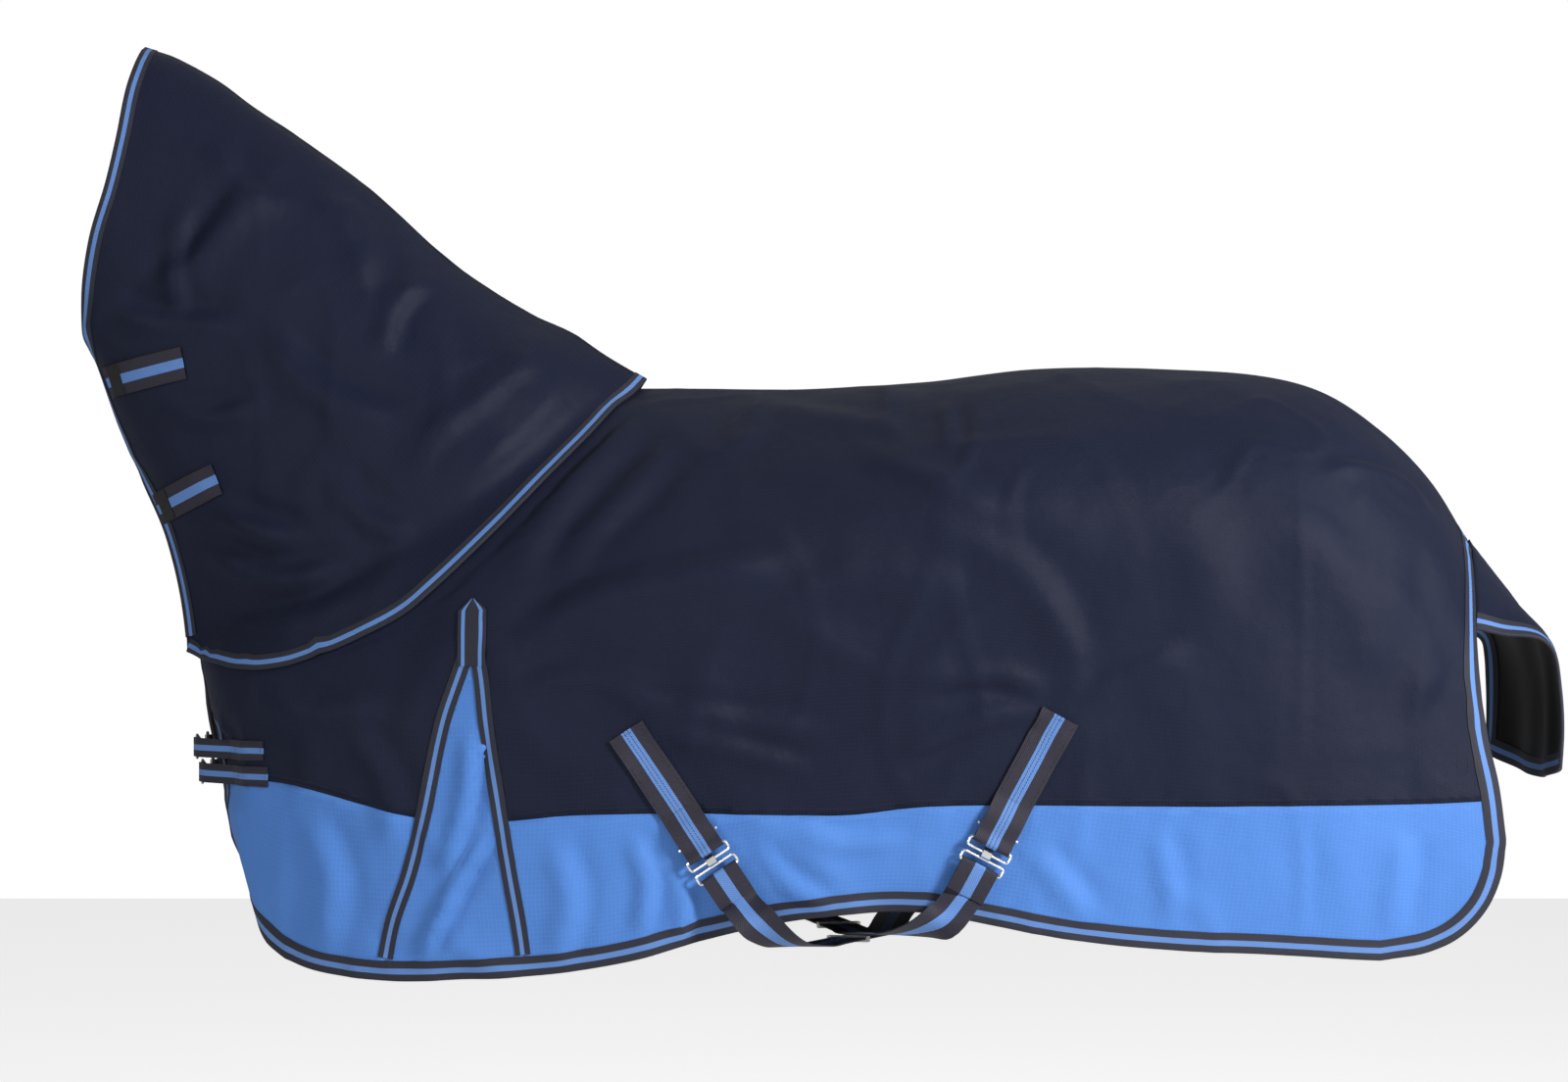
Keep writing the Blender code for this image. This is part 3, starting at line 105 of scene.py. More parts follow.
REAR_CORNER = [(0.870, -0.7305), (0.920, -0.722), (0.962, -0.702), (0.994, -0.669), (1.012, -0.630),
               (1.020, -0.585)]
SKIRT_SEAM = [(-0.700, -0.505), (-0.602, -0.506), (-0.531, -0.511), (-0.478, -0.522), (-0.428, -0.535),
              (-0.352, -0.551), (-0.252, -0.553), (-0.167, -0.545), (-0.019, -0.542), (0.178, -0.544),
              (0.276, -0.534), (0.375, -0.532), (0.598, -0.534), (0.772, -0.534), (0.920, -0.533),
              (1.060, -0.527)]
GUSSET_LEFT = [(-0.289, -0.322), (-0.303, -0.362), (-0.327, -0.433), (-0.352, -0.551), (-0.370, -0.621),
               (-0.392, -0.685), (-0.408, -0.765)]
GUSSET_RIGHT = [(-0.289, -0.322), (-0.278, -0.362), (-0.270, -0.433), (-0.252, -0.553),
                (-0.241, -0.621), (-0.230, -0.684), (-0.219, -0.765)]
GUSSET_TAB_PATH = [(-0.288, -0.274), (-0.2885, -0.300), (-0.2885, -0.330), (-0.2885, -0.358)]
GUSSET_TAB_HALF = 0.0185
CREST = [(-0.745, 0.452), (-0.702, 0.438), (-0.650, 0.410), (-0.598, 0.372), (-0.546, 0.337),
         (-0.442, 0.262), (-0.338, 0.168), (-0.234, 0.100), (-0.182, 0.076), (-0.130, 0.042),
         (-0.079, 0.012)]
FACE = [(-0.745, 0.452), (-0.759, 0.395), (-0.769, 0.329), (-0.783, 0.264), (-0.803, 0.200),
        (-0.815, 0.136), (-0.816, 0.092), (-0.806, 0.042)]
THROAT = [(-0.806, 0.042), (-0.777, -0.041), (-0.744, -0.119), (-0.712, -0.191), (-0.693, -0.262),
          (-0.680, -0.346)]
RIM = [(-0.079, 0.012), (-0.125, -0.050), (-0.185, -0.116), (-0.247, -0.183), (-0.308, -0.242),
       (-0.370, -0.294), (-0.434, -0.328), (-0.498, -0.353), (-0.567, -0.368), (-0.611, -0.366),
       (-0.655, -0.354), (-0.680, -0.346)]
FLAP_MIDDLE = [(1.010, -0.200), (1.043, -0.240), (1.074, -0.283), (1.094, -0.322), (1.104, -0.379),
               (1.105, -0.444), (1.101, -0.512)]
FLAP_EDGE = {
    "near": [(0.996, -0.261), (1.032, -0.290), (1.078, -0.312), (1.096, -0.338), (1.102, -0.390),
             (1.103, -0.440), (1.100, -0.492)],
    "far": [(0.996, -0.261), (1.030, -0.292), (1.058, -0.318), (1.064, -0.345), (1.067, -0.390),
            (1.067, -0.440), (1.064, -0.490)],
}
FLAP_HALF = 0.170
FLAP_GAP = 0.0020
FLAP_SEAM_SHARE = 3 / 9  # how far down the rug's rear edge the tail flap is sewn
SURCINGLES = {
    "front": {
        "tab": [(-0.094, -0.438), (0.008, -0.592)],  # sewn end and fold
        "near_run": [(0.070, -0.676, -0.320), (0.104, -0.704, -0.296), (0.140, -0.714, -0.235)],
        "middle": (0.235, -0.718, 0.0),
        "far_run": [(0.262, -0.712, 0.250), (0.296, -0.684, 0.306)],
    },
    "rear": {
        "tab": [(0.450, -0.419), (0.362, -0.584)],
        "near_run": [(0.302, -0.674, -0.320), (0.256, -0.692, -0.296), (0.200, -0.698, -0.232)],
        "middle": (0.150, -0.698, 0.0),
        "far_run": [(0.116, -0.698, 0.250), (0.084, -0.682, 0.306)],
    },
}
FAR_TAB_OF = {"front": "rear", "rear": "front"}  # the straps cross under the belly
CHEST_CLOSURES = {"upper": -0.470, "lower": -0.503}
# x and z of the sewn end, length, and degrees of rise
NECK_TABS = {"upper": (-0.788, 0.008, 0.115, 12), "lower": (-0.722, -0.160, 0.100, 24)}
LEG_RING = (0.955, -0.470)
PATCH = (0.929, 0.971, -0.517, -0.466)  # the stitched square over a leg ring's loop, x then z

# Folds of the near side, as their ridge's (x, z) points, their width and their height.
BODY_FOLDS = [
    ([(-0.255, -0.343), (-0.142, -0.277), (0.006, -0.241), (0.153, -0.225)], 0.022, 0.0075),
    ([(-0.240, -0.382), (-0.142, -0.370), (-0.019, -0.386)], 0.016, 0.0045),
    ([(-0.068, -0.035), (-0.142, -0.105), (-0.205, -0.185), (-0.247, -0.259)], 0.020, 0.0050),
    ([(-0.019, -0.055), (-0.093, -0.136), (-0.191, -0.234)], 0.018, 0.0045),
    ([(-0.093, -0.425), (0.006, -0.452), (0.153, -0.493)], 0.013, 0.0050),
    ([(-0.150, -0.372), (-0.019, -0.419), (0.178, -0.440)], 0.015, 0.0050),
    ([(0.065, -0.022), (0.166, -0.044), (0.281, -0.062)], 0.014, 0.0035),
    ([(0.314, -0.018), (0.318, -0.088)], 0.008, 0.0035),
    ([(0.442, -0.404), (0.350, -0.425), (0.227, -0.474)], 0.014, 0.0060),
    ([(0.448, -0.390), (0.362, -0.368), (0.250, -0.382)], 0.013, 0.0050),
    ([(0.470, -0.410), (0.534, -0.370), (0.621, -0.333)], 0.018, 0.0040),
    ([(0.785, -0.125), (0.812, -0.106), (0.871, -0.116), (0.914, -0.137), (0.945, -0.185)], 0.011, 0.0060),
    ([(0.842, -0.210), (0.891, -0.308), (0.928, -0.456)], 0.030, 0.0060),
    ([(0.719, -0.136), (0.817, -0.259), (0.867, -0.407)], 0.034, 0.0050),
    ([(0.178, -0.075), (0.276, -0.111), (0.399, -0.185)], 0.020, 0.0040),
    ([(0.055, -0.290), (0.202, -0.250), (0.350, -0.262)], 0.030, 0.0050),
    ([(0.756, -0.545), (0.762, -0.628), (0.757, -0.715)], 0.006, 0.0030),
    ([(0.752, -0.060), (0.757, -0.300), (0.756, -0.520)], 0.006, 0.0012),
    ([(-0.093, -0.560), (-0.068, -0.628), (-0.081, -0.705)], 0.012, 0.0070),
    ([(-0.044, -0.575), (-0.019, -0.650), (-0.031, -0.705)], 0.011, 0.0070),
    ([(0.055, -0.566), (0.104, -0.628), (0.178, -0.665)], 0.012, 0.0055),
    ([(0.104, -0.552), (0.178, -0.579), (0.264, -0.570)], 0.012, 0.0045),
    ([(0.399, -0.579), (0.448, -0.628), (0.497, -0.689)], 0.016, 0.0050),
    ([(-0.191, -0.566), (-0.167, -0.652), (-0.191, -0.738)], 0.017, 0.0050),
    ([(-0.511, -0.545), (-0.474, -0.628), (-0.486, -0.735)], 0.020, 0.0050),
    ([(-0.572, -0.390), (-0.511, -0.419), (-0.388, -0.410)], 0.020, 0.0040),
    ([(-0.262, -0.560), (-0.314, -0.645), (-0.357, -0.735)], 0.008, 0.0100),
    ([(-0.290, -0.420), (-0.296, -0.520), (-0.330, -0.640)], 0.010, 0.0060),
    ([(0.571, -0.560), (0.590, -0.630), (0.585, -0.700)], 0.014, 0.0035),
    ([(0.891, -0.560), (0.880, -0.640), (0.867, -0.710)], 0.016, 0.0045),
    ([(0.560, -0.080), (0.620, -0.190), (0.640, -0.330)], 0.040, 0.0035),
    ([(-0.450, -0.440), (-0.400, -0.500), (-0.392, -0.600)], 0.016, 0.0040),
    ([(0.300, -0.180), (0.420, -0.260), (0.470, -0.380)], 0.024, 0.0040),
]
NECK_FOLDS = [
    ([(-0.718, 0.119), (-0.655, 0.169), (-0.579, 0.271)], 0.020, 0.0070),
    ([(-0.790, 0.110), (-0.706, 0.081), (-0.592, 0.081)], 0.016, 0.0060),
    ([(-0.700, -0.090), (-0.604, -0.175), (-0.490, -0.205)], 0.017, 0.0080),
    ([(-0.665, -0.200), (-0.566, -0.248), (-0.440, -0.235)], 0.017, 0.0070),
    ([(-0.640, -0.300), (-0.528, -0.306), (-0.402, -0.252)], 0.014, 0.0050),
    ([(-0.351, 0.150), (-0.402, 0.106), (-0.415, 0.030)], 0.014, 0.0055),
    ([(-0.579, 0.081), (-0.490, -0.008), (-0.377, -0.058)], 0.020, 0.0070),
    ([(-0.200, 0.060), (-0.276, -0.008), (-0.377, -0.096)], 0.020, 0.0060),
    ([(-0.668, 0.245), (-0.693, 0.169), (-0.680, 0.081)], 0.014, 0.0050),
    ([(-0.170, 0.010), (-0.225, -0.058), (-0.313, -0.134)], 0.016, 0.0045),
    ([(-0.650, 0.330), (-0.610, 0.260), (-0.530, 0.230)], 0.018, 0.0040),
    ([(-0.520, 0.260), (-0.450, 0.200), (-0.440, 0.120)], 0.022, 0.0050),
    ([(-0.720, -0.010), (-0.640, -0.040), (-0.560, -0.020)], 0.014, 0.0050),
    ([(-0.480, -0.110), (-0.430, -0.170), (-0.350, -0.200)], 0.016, 0.0050),
]

BACK_ARC, BACK_FALL = 0.46, 0.34  # shares of a side's line and of its height that the round back takes
HEM_TUCK = 0.09  # share of the half width lost by the hem
CHEST_ROUNDING, RUMP_ROUNDING = 0.30, 0.22  # shares of the back over which the ends turn in
HALF_WIDTH, BARREL_SWELL = 0.262, 0.046
NECK_HALF_WIDTH, RIM_HALF_WIDTH = 0.085, 0.222
FOLD_DEPTH = 1.5  # what the listed heights of the folds are scaled by
PANEL_INSET = 0.0015  # of a panel's edge from the fold of its binding
CLOTH_STEP = 0.010  # between the points of a panel
PATH_STEP = 0.008  # along tapes and webbing


def ease(k):
    k = np.clip(k, 0.0, 1.0)
    return k * k * (3 - 2 * k)


def unit(vectors):
    return vectors / np.maximum(np.linalg.norm(vectors, axis=-1, keepdims=True), 1e-12)


class Curve:
    """A smooth curve through (x, z) or (x, z, y) points, read at 0 to 1 along its length."""

    def __init__(self, outline):
        self.points = np.array([(p[0], p[2] if len(p) > 2 else 0.0, p[1]) for p in outline], float)
        steps = np.linalg.norm(np.diff(self.points, axis=0), axis=1)
        self.length = steps.sum()
        self.at = np.concatenate([[0.0], np.cumsum(steps)]) / self.length
        last = len(outline) - 1
        before = np.maximum(np.arange(last + 1) - 1, 0)
        after = np.minimum(np.arange(last + 1) + 1, last)
        spans = (self.at[after] - self.at[before])[:, None]
        self.slopes = (self.points[after] - self.points[before]) / spans

    def __call__(self, t):
        t = np.asarray(t, float)
        i = np.clip(np.searchsorted(self.at, t, "right") - 1, 0, len(self.at) - 2)
        span = (self.at[i + 1] - self.at[i])[..., None]
        k = (t - self.at[i])[..., None] / span
        return (self.points[i] * (2 * k**3 - 3 * k**2 + 1) + self.slopes[i] * span * (k**3 - 2 * k**2 + k)
                + self.points[i + 1] * (3 * k**2 - 2 * k**3) + self.slopes[i + 1] * span * (k**3 - k**2))


class Skin:
    """A fine grid of points over u and v, with outward normals. A v below 0 is past the middle line."""

    def __init__(self, points, side=1, crosses_middle=False):
        self.points, self.side, self.crosses_middle = points, side, crosses_middle
        middle_row = points[:, points.shape[1] * 3 // 5]
        middle_column = points[points.shape[0] // 2]
        self.size = np.array([np.linalg.norm(np.diff(line, axis=0), axis=1).sum()
                              for line in (middle_row, middle_column)])
        self.refresh()

    def refresh(self):
        along, down = np.gradient(self.points, axis=0), np.gradient(self.points, axis=1)
        normals = np.cross(down, along)
        if not self.crosses_middle:
            normals[:, 0, 1] = 0.0
        self.normals = unit(normals)

    def read(self, table, u, v):
        rows, columns = table.shape[0] - 1, table.shape[1] - 1
        x, y = np.asarray(u, float) * rows, np.asarray(v, float) * columns
        i = np.clip(np.floor(x).astype(int), 0, rows - 1)
        j = np.clip(np.floor(y).astype(int), 0, columns - 1)
        a, b = (x - i)[..., None], (y - j)[..., None]
        return (table[i, j] * (1 - a) * (1 - b) + table[i + 1, j] * a * (1 - b)
                + table[i, j + 1] * (1 - a) * b + table[i + 1, j + 1] * a * b)

    def near_place(self, u, v, h=0.0):
        """Places on the near side, before this side's mirroring."""
        u, v, h = np.broadcast_arrays(np.asarray(u, float), np.asarray(v, float), np.asarray(h, float))
        past = (v < 0) & (not self.crosses_middle)
        v = np.where(past, -v, v)
        place = self.read(self.points, u, v) + unit(self.read(self.normals, u, v)) * h[..., None]
        place[..., 1] *= np.where(past, -1, 1)
        return place

    def at(self, u, v, h=0.0):
        place = self.near_place(u, v, h)
        place[..., 1] *= self.side
        return place

    def slopes(self, u, v):
        e = 1e-3
        return ((self.read(self.points, u + e, v) - self.read(self.points, u - e, v)) / (2 * e),
                (self.read(self.points, u, v + e) - self.read(self.points, u, v - e)) / (2 * e))

    def locate(self, x, z):
        """(u, v) of the point that is seen at x, z from the side."""
        k = np.argmin((self.points[..., 0] - x) ** 2 + (self.points[..., 2] - z) ** 2)
        u = (k // self.points.shape[1]) / (self.points.shape[0] - 1)
        v = (k % self.points.shape[1]) / (self.points.shape[1] - 1)
        for _ in range(5):
            here = self.read(self.points, u, v)
            su, sv = self.slopes(u, v)
            det = su[0] * sv[2] - sv[0] * su[2]
            dx, dz = x - here[0], z - here[2]
            u += float(np.clip((dx * sv[2] - sv[0] * dz) / det, -0.05, 0.05))
            v += float(np.clip((su[0] * dz - dx * su[2]) / det, -0.05, 0.05))
        return u, v

    def trace(self, outline, step=PATH_STEP):
        """A smooth path of (u, v) points through an outline seen from the side."""
        curve = Curve(outline)
        count = max(int(curve.length / step), 3)
        return np.array([self.locate(p[0], p[2]) for p in curve(np.linspace(0, 1, count + 1))])

    def shifted(self, path, distance):
        """The path of (u, v) points moved to its left, seen from outside."""
        u, v = path[:, 0], path[:, 1]
        way = unit(np.gradient(self.read(self.points, u, v), axis=0))
        su, sv = self.slopes(np.clip(u, 0.002, 0.998), np.clip(v, 0.002, 0.998))
        left = np.cross(unit(np.cross(sv, su)), way) * distance
        uu, uv, vv = (su * su).sum(1), (su * sv).sum(1), (sv * sv).sum(1)
        ru, rv = (su * left).sum(1), (sv * left).sum(1)
        det = uu * vv - uv * uv
        moved = path + np.stack([(ru * vv - rv * uv) / det, (rv * uu - ru * uv) / det], 1)
        if not self.crosses_middle:
            moved[:, 1] = np.where((path[:, 1] >= 0) & (moved[:, 1] < 0), 0.0, moved[:, 1])
        return moved


def drop_share(t):
    """How far down a side has come at t along its line."""
    arc, fall = BACK_ARC, BACK_FALL
    return np.where(t < arc, fall * (1 - np.cos(np.pi / 2 * np.minimum(t, arc) / arc)),
                    fall + (1 - fall) * (t - arc) / (1 - arc))


def width_share(t):
    """How far out a side has come at t along its line."""
    arc = BACK_ARC
    return np.where(t < arc, np.sin(np.pi / 2 * np.minimum(t, arc) / arc),
                    1 - HEM_TUCK * (np.maximum(t - arc, 0) / (1 - arc)) ** 2)


def body_points(side_name, columns, rows):
    """One side of the rug, from the neckline to the rear edge and from the spine to the hem."""
    top, bottom, front, rear = Curve(SPINE), Curve(HEM), Curve(FRONT[side_name]), Curve(REAR)
    s = (np.linspace(0, 1, columns) ** 1.2)[:, None, None]
    line = np.linspace(0, 1, rows)
    t, share = line[None, :, None], drop_share(line)[None, :, None]
    spine, hem = top(s[:, 0, 0])[:, None], bottom(s[:, 0, 0])[:, None]
    front_line, rear_line = front(line)[None], rear(line)[None]
    place = spine + (hem - spine) * share
    place = place + (front_line - (front(0.0) + (front(1.0) - front(0.0)) * share)) * (1 - s) ** 2
    place = place + (rear_line - (rear(0.0) + (rear(1.0) - rear(0.0)) * share)) * s**2
    chest = 1 - np.sqrt(1 - np.maximum(1 - s / CHEST_ROUNDING, 0) ** 2)
    rump = np.maximum((s - (1 - RUMP_ROUNDING)) / RUMP_ROUNDING, 0) ** 2
    half = HALF_WIDTH + BARREL_SWELL * np.sin(np.pi * np.clip(s * 1.05 + 0.05, 0, 1)) ** 0.8
    ends = front_line[..., 1:2] * chest + rear_line[..., 1:2] * rump
    place[..., 1] = (ends - half * width_share(t) * (1 - chest - rump))[..., 0]
    return place


def segment_distance(x, z, a, b):
    """Distance of points from a segment, on which side they are, and how far along they lie."""
    ab = b - a
    t = np.clip(((x - a[0]) * ab[0] + (z - a[1]) * ab[1]) / max(ab @ ab, 1e-12), 0, 1)
    dx, dz = x - a[0] - ab[0] * t, z - a[1] - ab[1] * t
    return np.hypot(dx, dz), np.sign(ab[0] * dz - ab[1] * dx), t


def fold_heights(x, z, folds):
    """A soft ridge with a valley beside it, along each fold."""
    total = np.zeros_like(x)
    for outline, width, height in folds:
        path = Curve(outline)(np.linspace(0, 1, 13))[:, [0, 2]]
        best, signed, along = np.full(x.shape, 9.0), np.zeros_like(x), np.zeros_like(x)
        for k, (a, b) in enumerate(zip(path, path[1:])):
            distance, side, t = segment_distance(x, z, a, b)
            closer = distance < best
            best = np.where(closer, distance, best)
            signed = np.where(closer, side * distance, signed)
            along = np.where(closer, (k + t) / 12, along)
        fade = ease(along * 3.5) * ease((1 - along) * 3.5)
        across = signed / width
        total += height * fade * (np.exp(-across**2) - 0.6 * np.exp(-((across - 1.5) / 0.9) ** 2))
    return total


def wrinkles(points, size, seed):
    """Gradient noise over the cloth, drawn out along the way down."""
    stretch = np.array([1.0, 1.0, 0.55]) / size
    flat = (points * stretch).reshape(-1, 3)
    shift = Vector((seed * 3.7, seed * 1.3, seed * 2.1))
    values = [noise.noise(Vector(p) + shift) for p in flat]
    return np.array(values).reshape(points.shape[:2])


def creases(points, size, seed):
    """Sharp-topped ridges over the cloth where a noise passes through 0, fading in and out."""
    ridge = 1 - np.minimum(np.abs(wrinkles(points, size, seed)) * 5.0, 1.0)
    return ridge**1.5 * ease(wrinkles(points, size * 1.9, seed + 3) * 2.2 + 0.35)


def near_any(x, z, places, inner, outer):
    """1 within inner of a segment, falling to 0 at outer."""
    held = np.zeros_like(x)
    for a, b in places:
        distance = segment_distance(x, z, np.array(a), np.array(b))[0]
        held = np.maximum(held, ease((outer - distance) / (outer - inner)))
    return held


def cad_tree(node):
    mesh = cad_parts[node].data
    return BVHTree.FromPolygons([v.co for v in mesh.vertices], [p.vertices for p in mesh.polygons])


def seated(skin, lining_node, held):
    """The skin moved onto the CAD lining's underside where it is held, as under the fittings."""
    tree = cad_tree(lining_node)
    for i, j in zip(*np.nonzero(held > 0.01)):
        place = Vector(skin.points[i, j])
        outward = Vector(skin.normals[i, j])
        place.y, outward.y = place.y * skin.side, outward.y * skin.side
        hit, normal = tree.find_nearest(place)[:2]
        if hit is None or abs(normal.dot(outward)) < 0.5 or (hit - place).length > 0.012:
            continue
        if normal.dot(outward) > 0:
            hit = hit - outward * LINING_TOP
        hit.y *= skin.side
        skin.points[i, j] += (np.array(hit) - skin.points[i, j]) * held[i, j]


def body_skin(side_name):
    """One side of the rug with its folds."""
    skin = Skin(body_points(side_name, 221, 121), SIDES[side_name])
    x, z = skin.points[..., 0], skin.points[..., 2]
    tabs = []
    for sizes in SURCINGLES.values():
        (x0, z0), (x1, z1) = sizes["tab"]
        middle = (x0 + (x1 - x0) * 0.5, z0 + (z1 - z0) * 0.5)
        tabs.append((middle, (x1 + (x1 - x0) * 0.35, z1 + (z1 - z0) * 0.35)))
    fittings = near_any(x, z, tabs, 0.034, 0.075)
    closures = [((-0.67, level), (-0.55, level)) for level in CHEST_CLOSURES.values()]
    chest = near_any(x, z, closures, 0.020, 0.050)
    ring = near_any(x, z, [((LEG_RING[0], LEG_RING[1] + 0.045), LEG_RING)], 0.030, 0.060)
    held = np.maximum(np.maximum(fittings, chest), ring)
    folds = BODY_FOLDS
    if side_name == "far":
        folds = []
        for k, (points, width, height) in enumerate(BODY_FOLDS):
            shift_x, shift_z = 0.017 * math.sin(7 * k), 0.012 * math.cos(5 * k)
            folds.append(([(a + shift_x, b + shift_z) for a, b in points], width * 1.1, height * 0.9))
    depth = FOLD_DEPTH * fold_heights(x, z, folds)
    depth += 0.0035 * wrinkles(skin.points, 0.16, 1 + SIDES[side_name])
    depth += 0.0016 * wrinkles(skin.points, 0.055, 4 + SIDES[side_name])
    depth += 0.0060 * creases(skin.points, 0.21, 30 + SIDES[side_name])
    depth += 0.0034 * creases(skin.points, 0.10, 40 + SIDES[side_name])
    puckers = np.sin(x * 260 + 3 * np.sin(x * 41)) * np.exp(-((z + 0.537) / 0.012) ** 2)
    depth += 0.0005 * puckers
    rim = Curve(RIM)(np.linspace(0, 1, 40))
    covered = x < np.interp(-z, -rim[:, 2], rim[:, 0], left=-0.079, right=-0.680) + 0.020
    covered &= z > -0.385
    depth = np.where(covered, np.minimum(depth, 0.0), depth)
    depth *= ease(np.linspace(0, 1, 121) / 0.06)[None, :] * 0.85 + 0.15
    depth *= 1 - np.maximum(chest, ring)
    depth = np.where(depth > 0, depth * (1 - fittings), depth)
    seated(skin, f"lining_{side_name}", held)
    skin.refresh()
    skin.points = skin.points + skin.normals * depth[..., None]
    skin.points[:, 0, 1] = 0.0
    skin.refresh()
    return skin


def surface_tree(skins):
    """Both sides of the body, to measure from."""
    points, faces = [], []
    for skin in skins:
        rows, columns = skin.points.shape[:2]
        places = skin.points * np.array([1, skin.side, 1])
        offset = len(points)
        points += [Vector(p) for p in places.reshape(-1, 3)]
        index = np.arange(rows * columns).reshape(rows, columns) + offset
        a, b, c, d = index[:-1, :-1], index[:-1, 1:], index[1:, 1:], index[1:, :-1]
        quads = np.stack([a, b, c, d], -1).reshape(-1, 4)
        faces += (quads if skin.side > 0 else quads[:, ::-1]).tolist()
    return BVHTree.FromPolygons(points, faces)


def neck_skin(side_name, tree):
    """One side of the neck cover, from the face edge to the rim and from the crest to the throat."""
    crest, throat, face, rim = Curve(CREST), Curve(THROAT), Curve(FACE), Curve(RIM)
    columns, rows = 111, 91
    s, t = np.linspace(0, 1, columns), np.linspace(0, 1, rows)
    along, down = s[:, None, None], t[None, :, None]
    place = crest(s)[:, None] * (1 - down) + throat(s)[:, None] * down
    place = place + (face(t)[None] - (face(0.0) * (1 - down) + face(1.0) * down)) * (1 - along)
    place = place + (rim(t)[None] - (rim(0.0) * (1 - down) + rim(1.0) * down)) * along
    half = NECK_HALF_WIDTH + (RIM_HALF_WIDTH - NECK_HALF_WIDTH) * along[..., 0] ** 1.3
    rounding = np.sin(np.pi * np.clip(t, 0, 1) ** 0.85).clip(0) ** 0.62
    edge = (0.004 + 0.012 * along[..., 0]) * ease((t - 0.5) / 0.5)[None]
    place[..., 1] = -np.hypot(half * rounding[None], edge)
    for i, j in np.ndindex(columns, rows):
        x, _, z = place[i, j]
        hit = tree.ray_cast(Vector((x, -1, z)), Vector((0, 1, 0)))[0]
        if hit and hit.y < 0:
            weight = float(ease((s[i] - 0.45) / 0.40))
            place[i, j, 1] += (hit.y - place[i, j, 1]) * weight
    place = lifted(relaxed(place, ease((s - 0.35) / 0.2)[:, None], 14), tree)
    place = lifted(relaxed(place, ease((s - 0.5) / 0.2)[:, None], 8), tree)
    skin = Skin(place, SIDES[side_name])
    x, z = skin.points[..., 0], skin.points[..., 2]
    depth = FOLD_DEPTH * fold_heights(x, z, NECK_FOLDS)
    depth += 0.0032 * wrinkles(skin.points, 0.12, 9 + SIDES[side_name])
    depth += 0.0014 * wrinkles(skin.points, 0.045, 14 + SIDES[side_name])
    depth += 0.0056 * creases(skin.points, 0.15, 50 + SIDES[side_name])
    depth += 0.0030 * creases(skin.points, 0.08, 60 + SIDES[side_name])
    tabs = []
    for tab_x, tab_z, length, rise in NECK_TABS.values():
        rise = math.radians(rise)
        tabs.append(((tab_x, tab_z), (tab_x + length * math.cos(rise), tab_z + length * math.sin(rise))))
    depth *= 1 - 0.85 * near_any(x, z, tabs, 0.030, 0.070)
    depth *= 0.2 + 0.8 * ease(t / 0.06)[None, :]
    depth = np.where(s[:, None] > 0.75, np.maximum(depth, 0.0), depth)
    depth *= 1 - 0.8 * ease((s[:, None] - 0.86) / 0.10)
    skin.points = lifted(skin.points + skin.normals * depth[..., None], tree)
    skin.points[:, 0, 1] = 0.0
    skin.refresh()
    return skin


def relaxed(place, weight, rounds):
    """The grid with its y evened out, where weight is above 0."""
    y = place[..., 1].copy()
    for _ in range(rounds):
        padded = np.pad(y, 1, mode="edge")
        even_y = (padded[:-2, 1:-1] + padded[2:, 1:-1] + padded[1:-1, :-2] + padded[1:-1, 2:]) / 4
        even_y[:, 0] = y[:, 0]
        y = y + (even_y - y) * weight
    place = place.copy()
    place[..., 1] = y
    return place


def lifted(place, tree):
    """The neck cover moved out until it lies clear of the body."""
    for _ in range(4):
        push = np.zeros_like(place)
        for i in range(place.shape[0] // 3, place.shape[0]):
            for j in range(place.shape[1]):
                spot = Vector(place[i, j])
                hit, normal, _, far = tree.find_nearest(spot, 0.06)
                if hit is None:
                    continue
                outward = (spot - hit).dot(normal)
                if outward < NECK_CLEARANCE and (far < 1e-9 or abs(outward) > 0.7 * far):
                    push[i, j] = normal * (NECK_CLEARANCE - outward)
        for _ in range(6):
            padded = np.pad(push, ((1, 1), (1, 1), (0, 0)), mode="edge")
            soft = (padded[:-2, 1:-1] + padded[2:, 1:-1] + padded[1:-1, :-2] + padded[1:-1, 2:]) / 4
            grows = np.linalg.norm(soft, axis=-1) > np.linalg.norm(push, axis=-1)
            push = np.where(grows[..., None], soft, push)
        push[:, 0, 1] = 0.0
        place = place + push
    return place


def flap_skin(body):
    """The tail flap, from its near edge to its far edge and down from its seam on the rug's rear edge."""
    across, down = 61, 41
    v = FLAP_SEAM_SHARE * np.abs(np.linspace(-1, 1, across))
    seam = body.read(body.points, np.ones(across), v)
    seam[across // 2 + 1:, 1] *= -1
    top_half = abs(seam[0, 1])
    share = seam[:, 1] / top_half
    t = np.linspace(0, 1, down)
    middle = Curve(FLAP_MIDDLE)(t)[None]
    sides = {name: Curve(FLAP_EDGE[name]) for name in SIDES}
    edge = np.where((share < 0)[:, None, None], sides["near"](t)[None], sides["far"](t)[None])
    place = middle + (edge - middle) * (share**2)[:, None, None]
    half = top_half + (FLAP_HALF - top_half) * ease(t * 2.2)
    place[..., 1] = share[:, None] * half[None]
    seam = seam + np.array([FLAP_GAP, 0, 0])
    place = place + (seam[:, None] - place[:, :1]) * ((1 - t) ** 3)[None, :, None]
    skin = Skin(place, 1, crosses_middle=True)
    wave = 0.0035 * np.sin(share[:, None] * 9 + t[None] * 3) * ease(t[None] * 1.5)
    wave += 0.0030 * wrinkles(skin.points, 0.07, 21)
    skin.points = skin.points + skin.normals * wave[..., None]
    skin.refresh()
    return skin


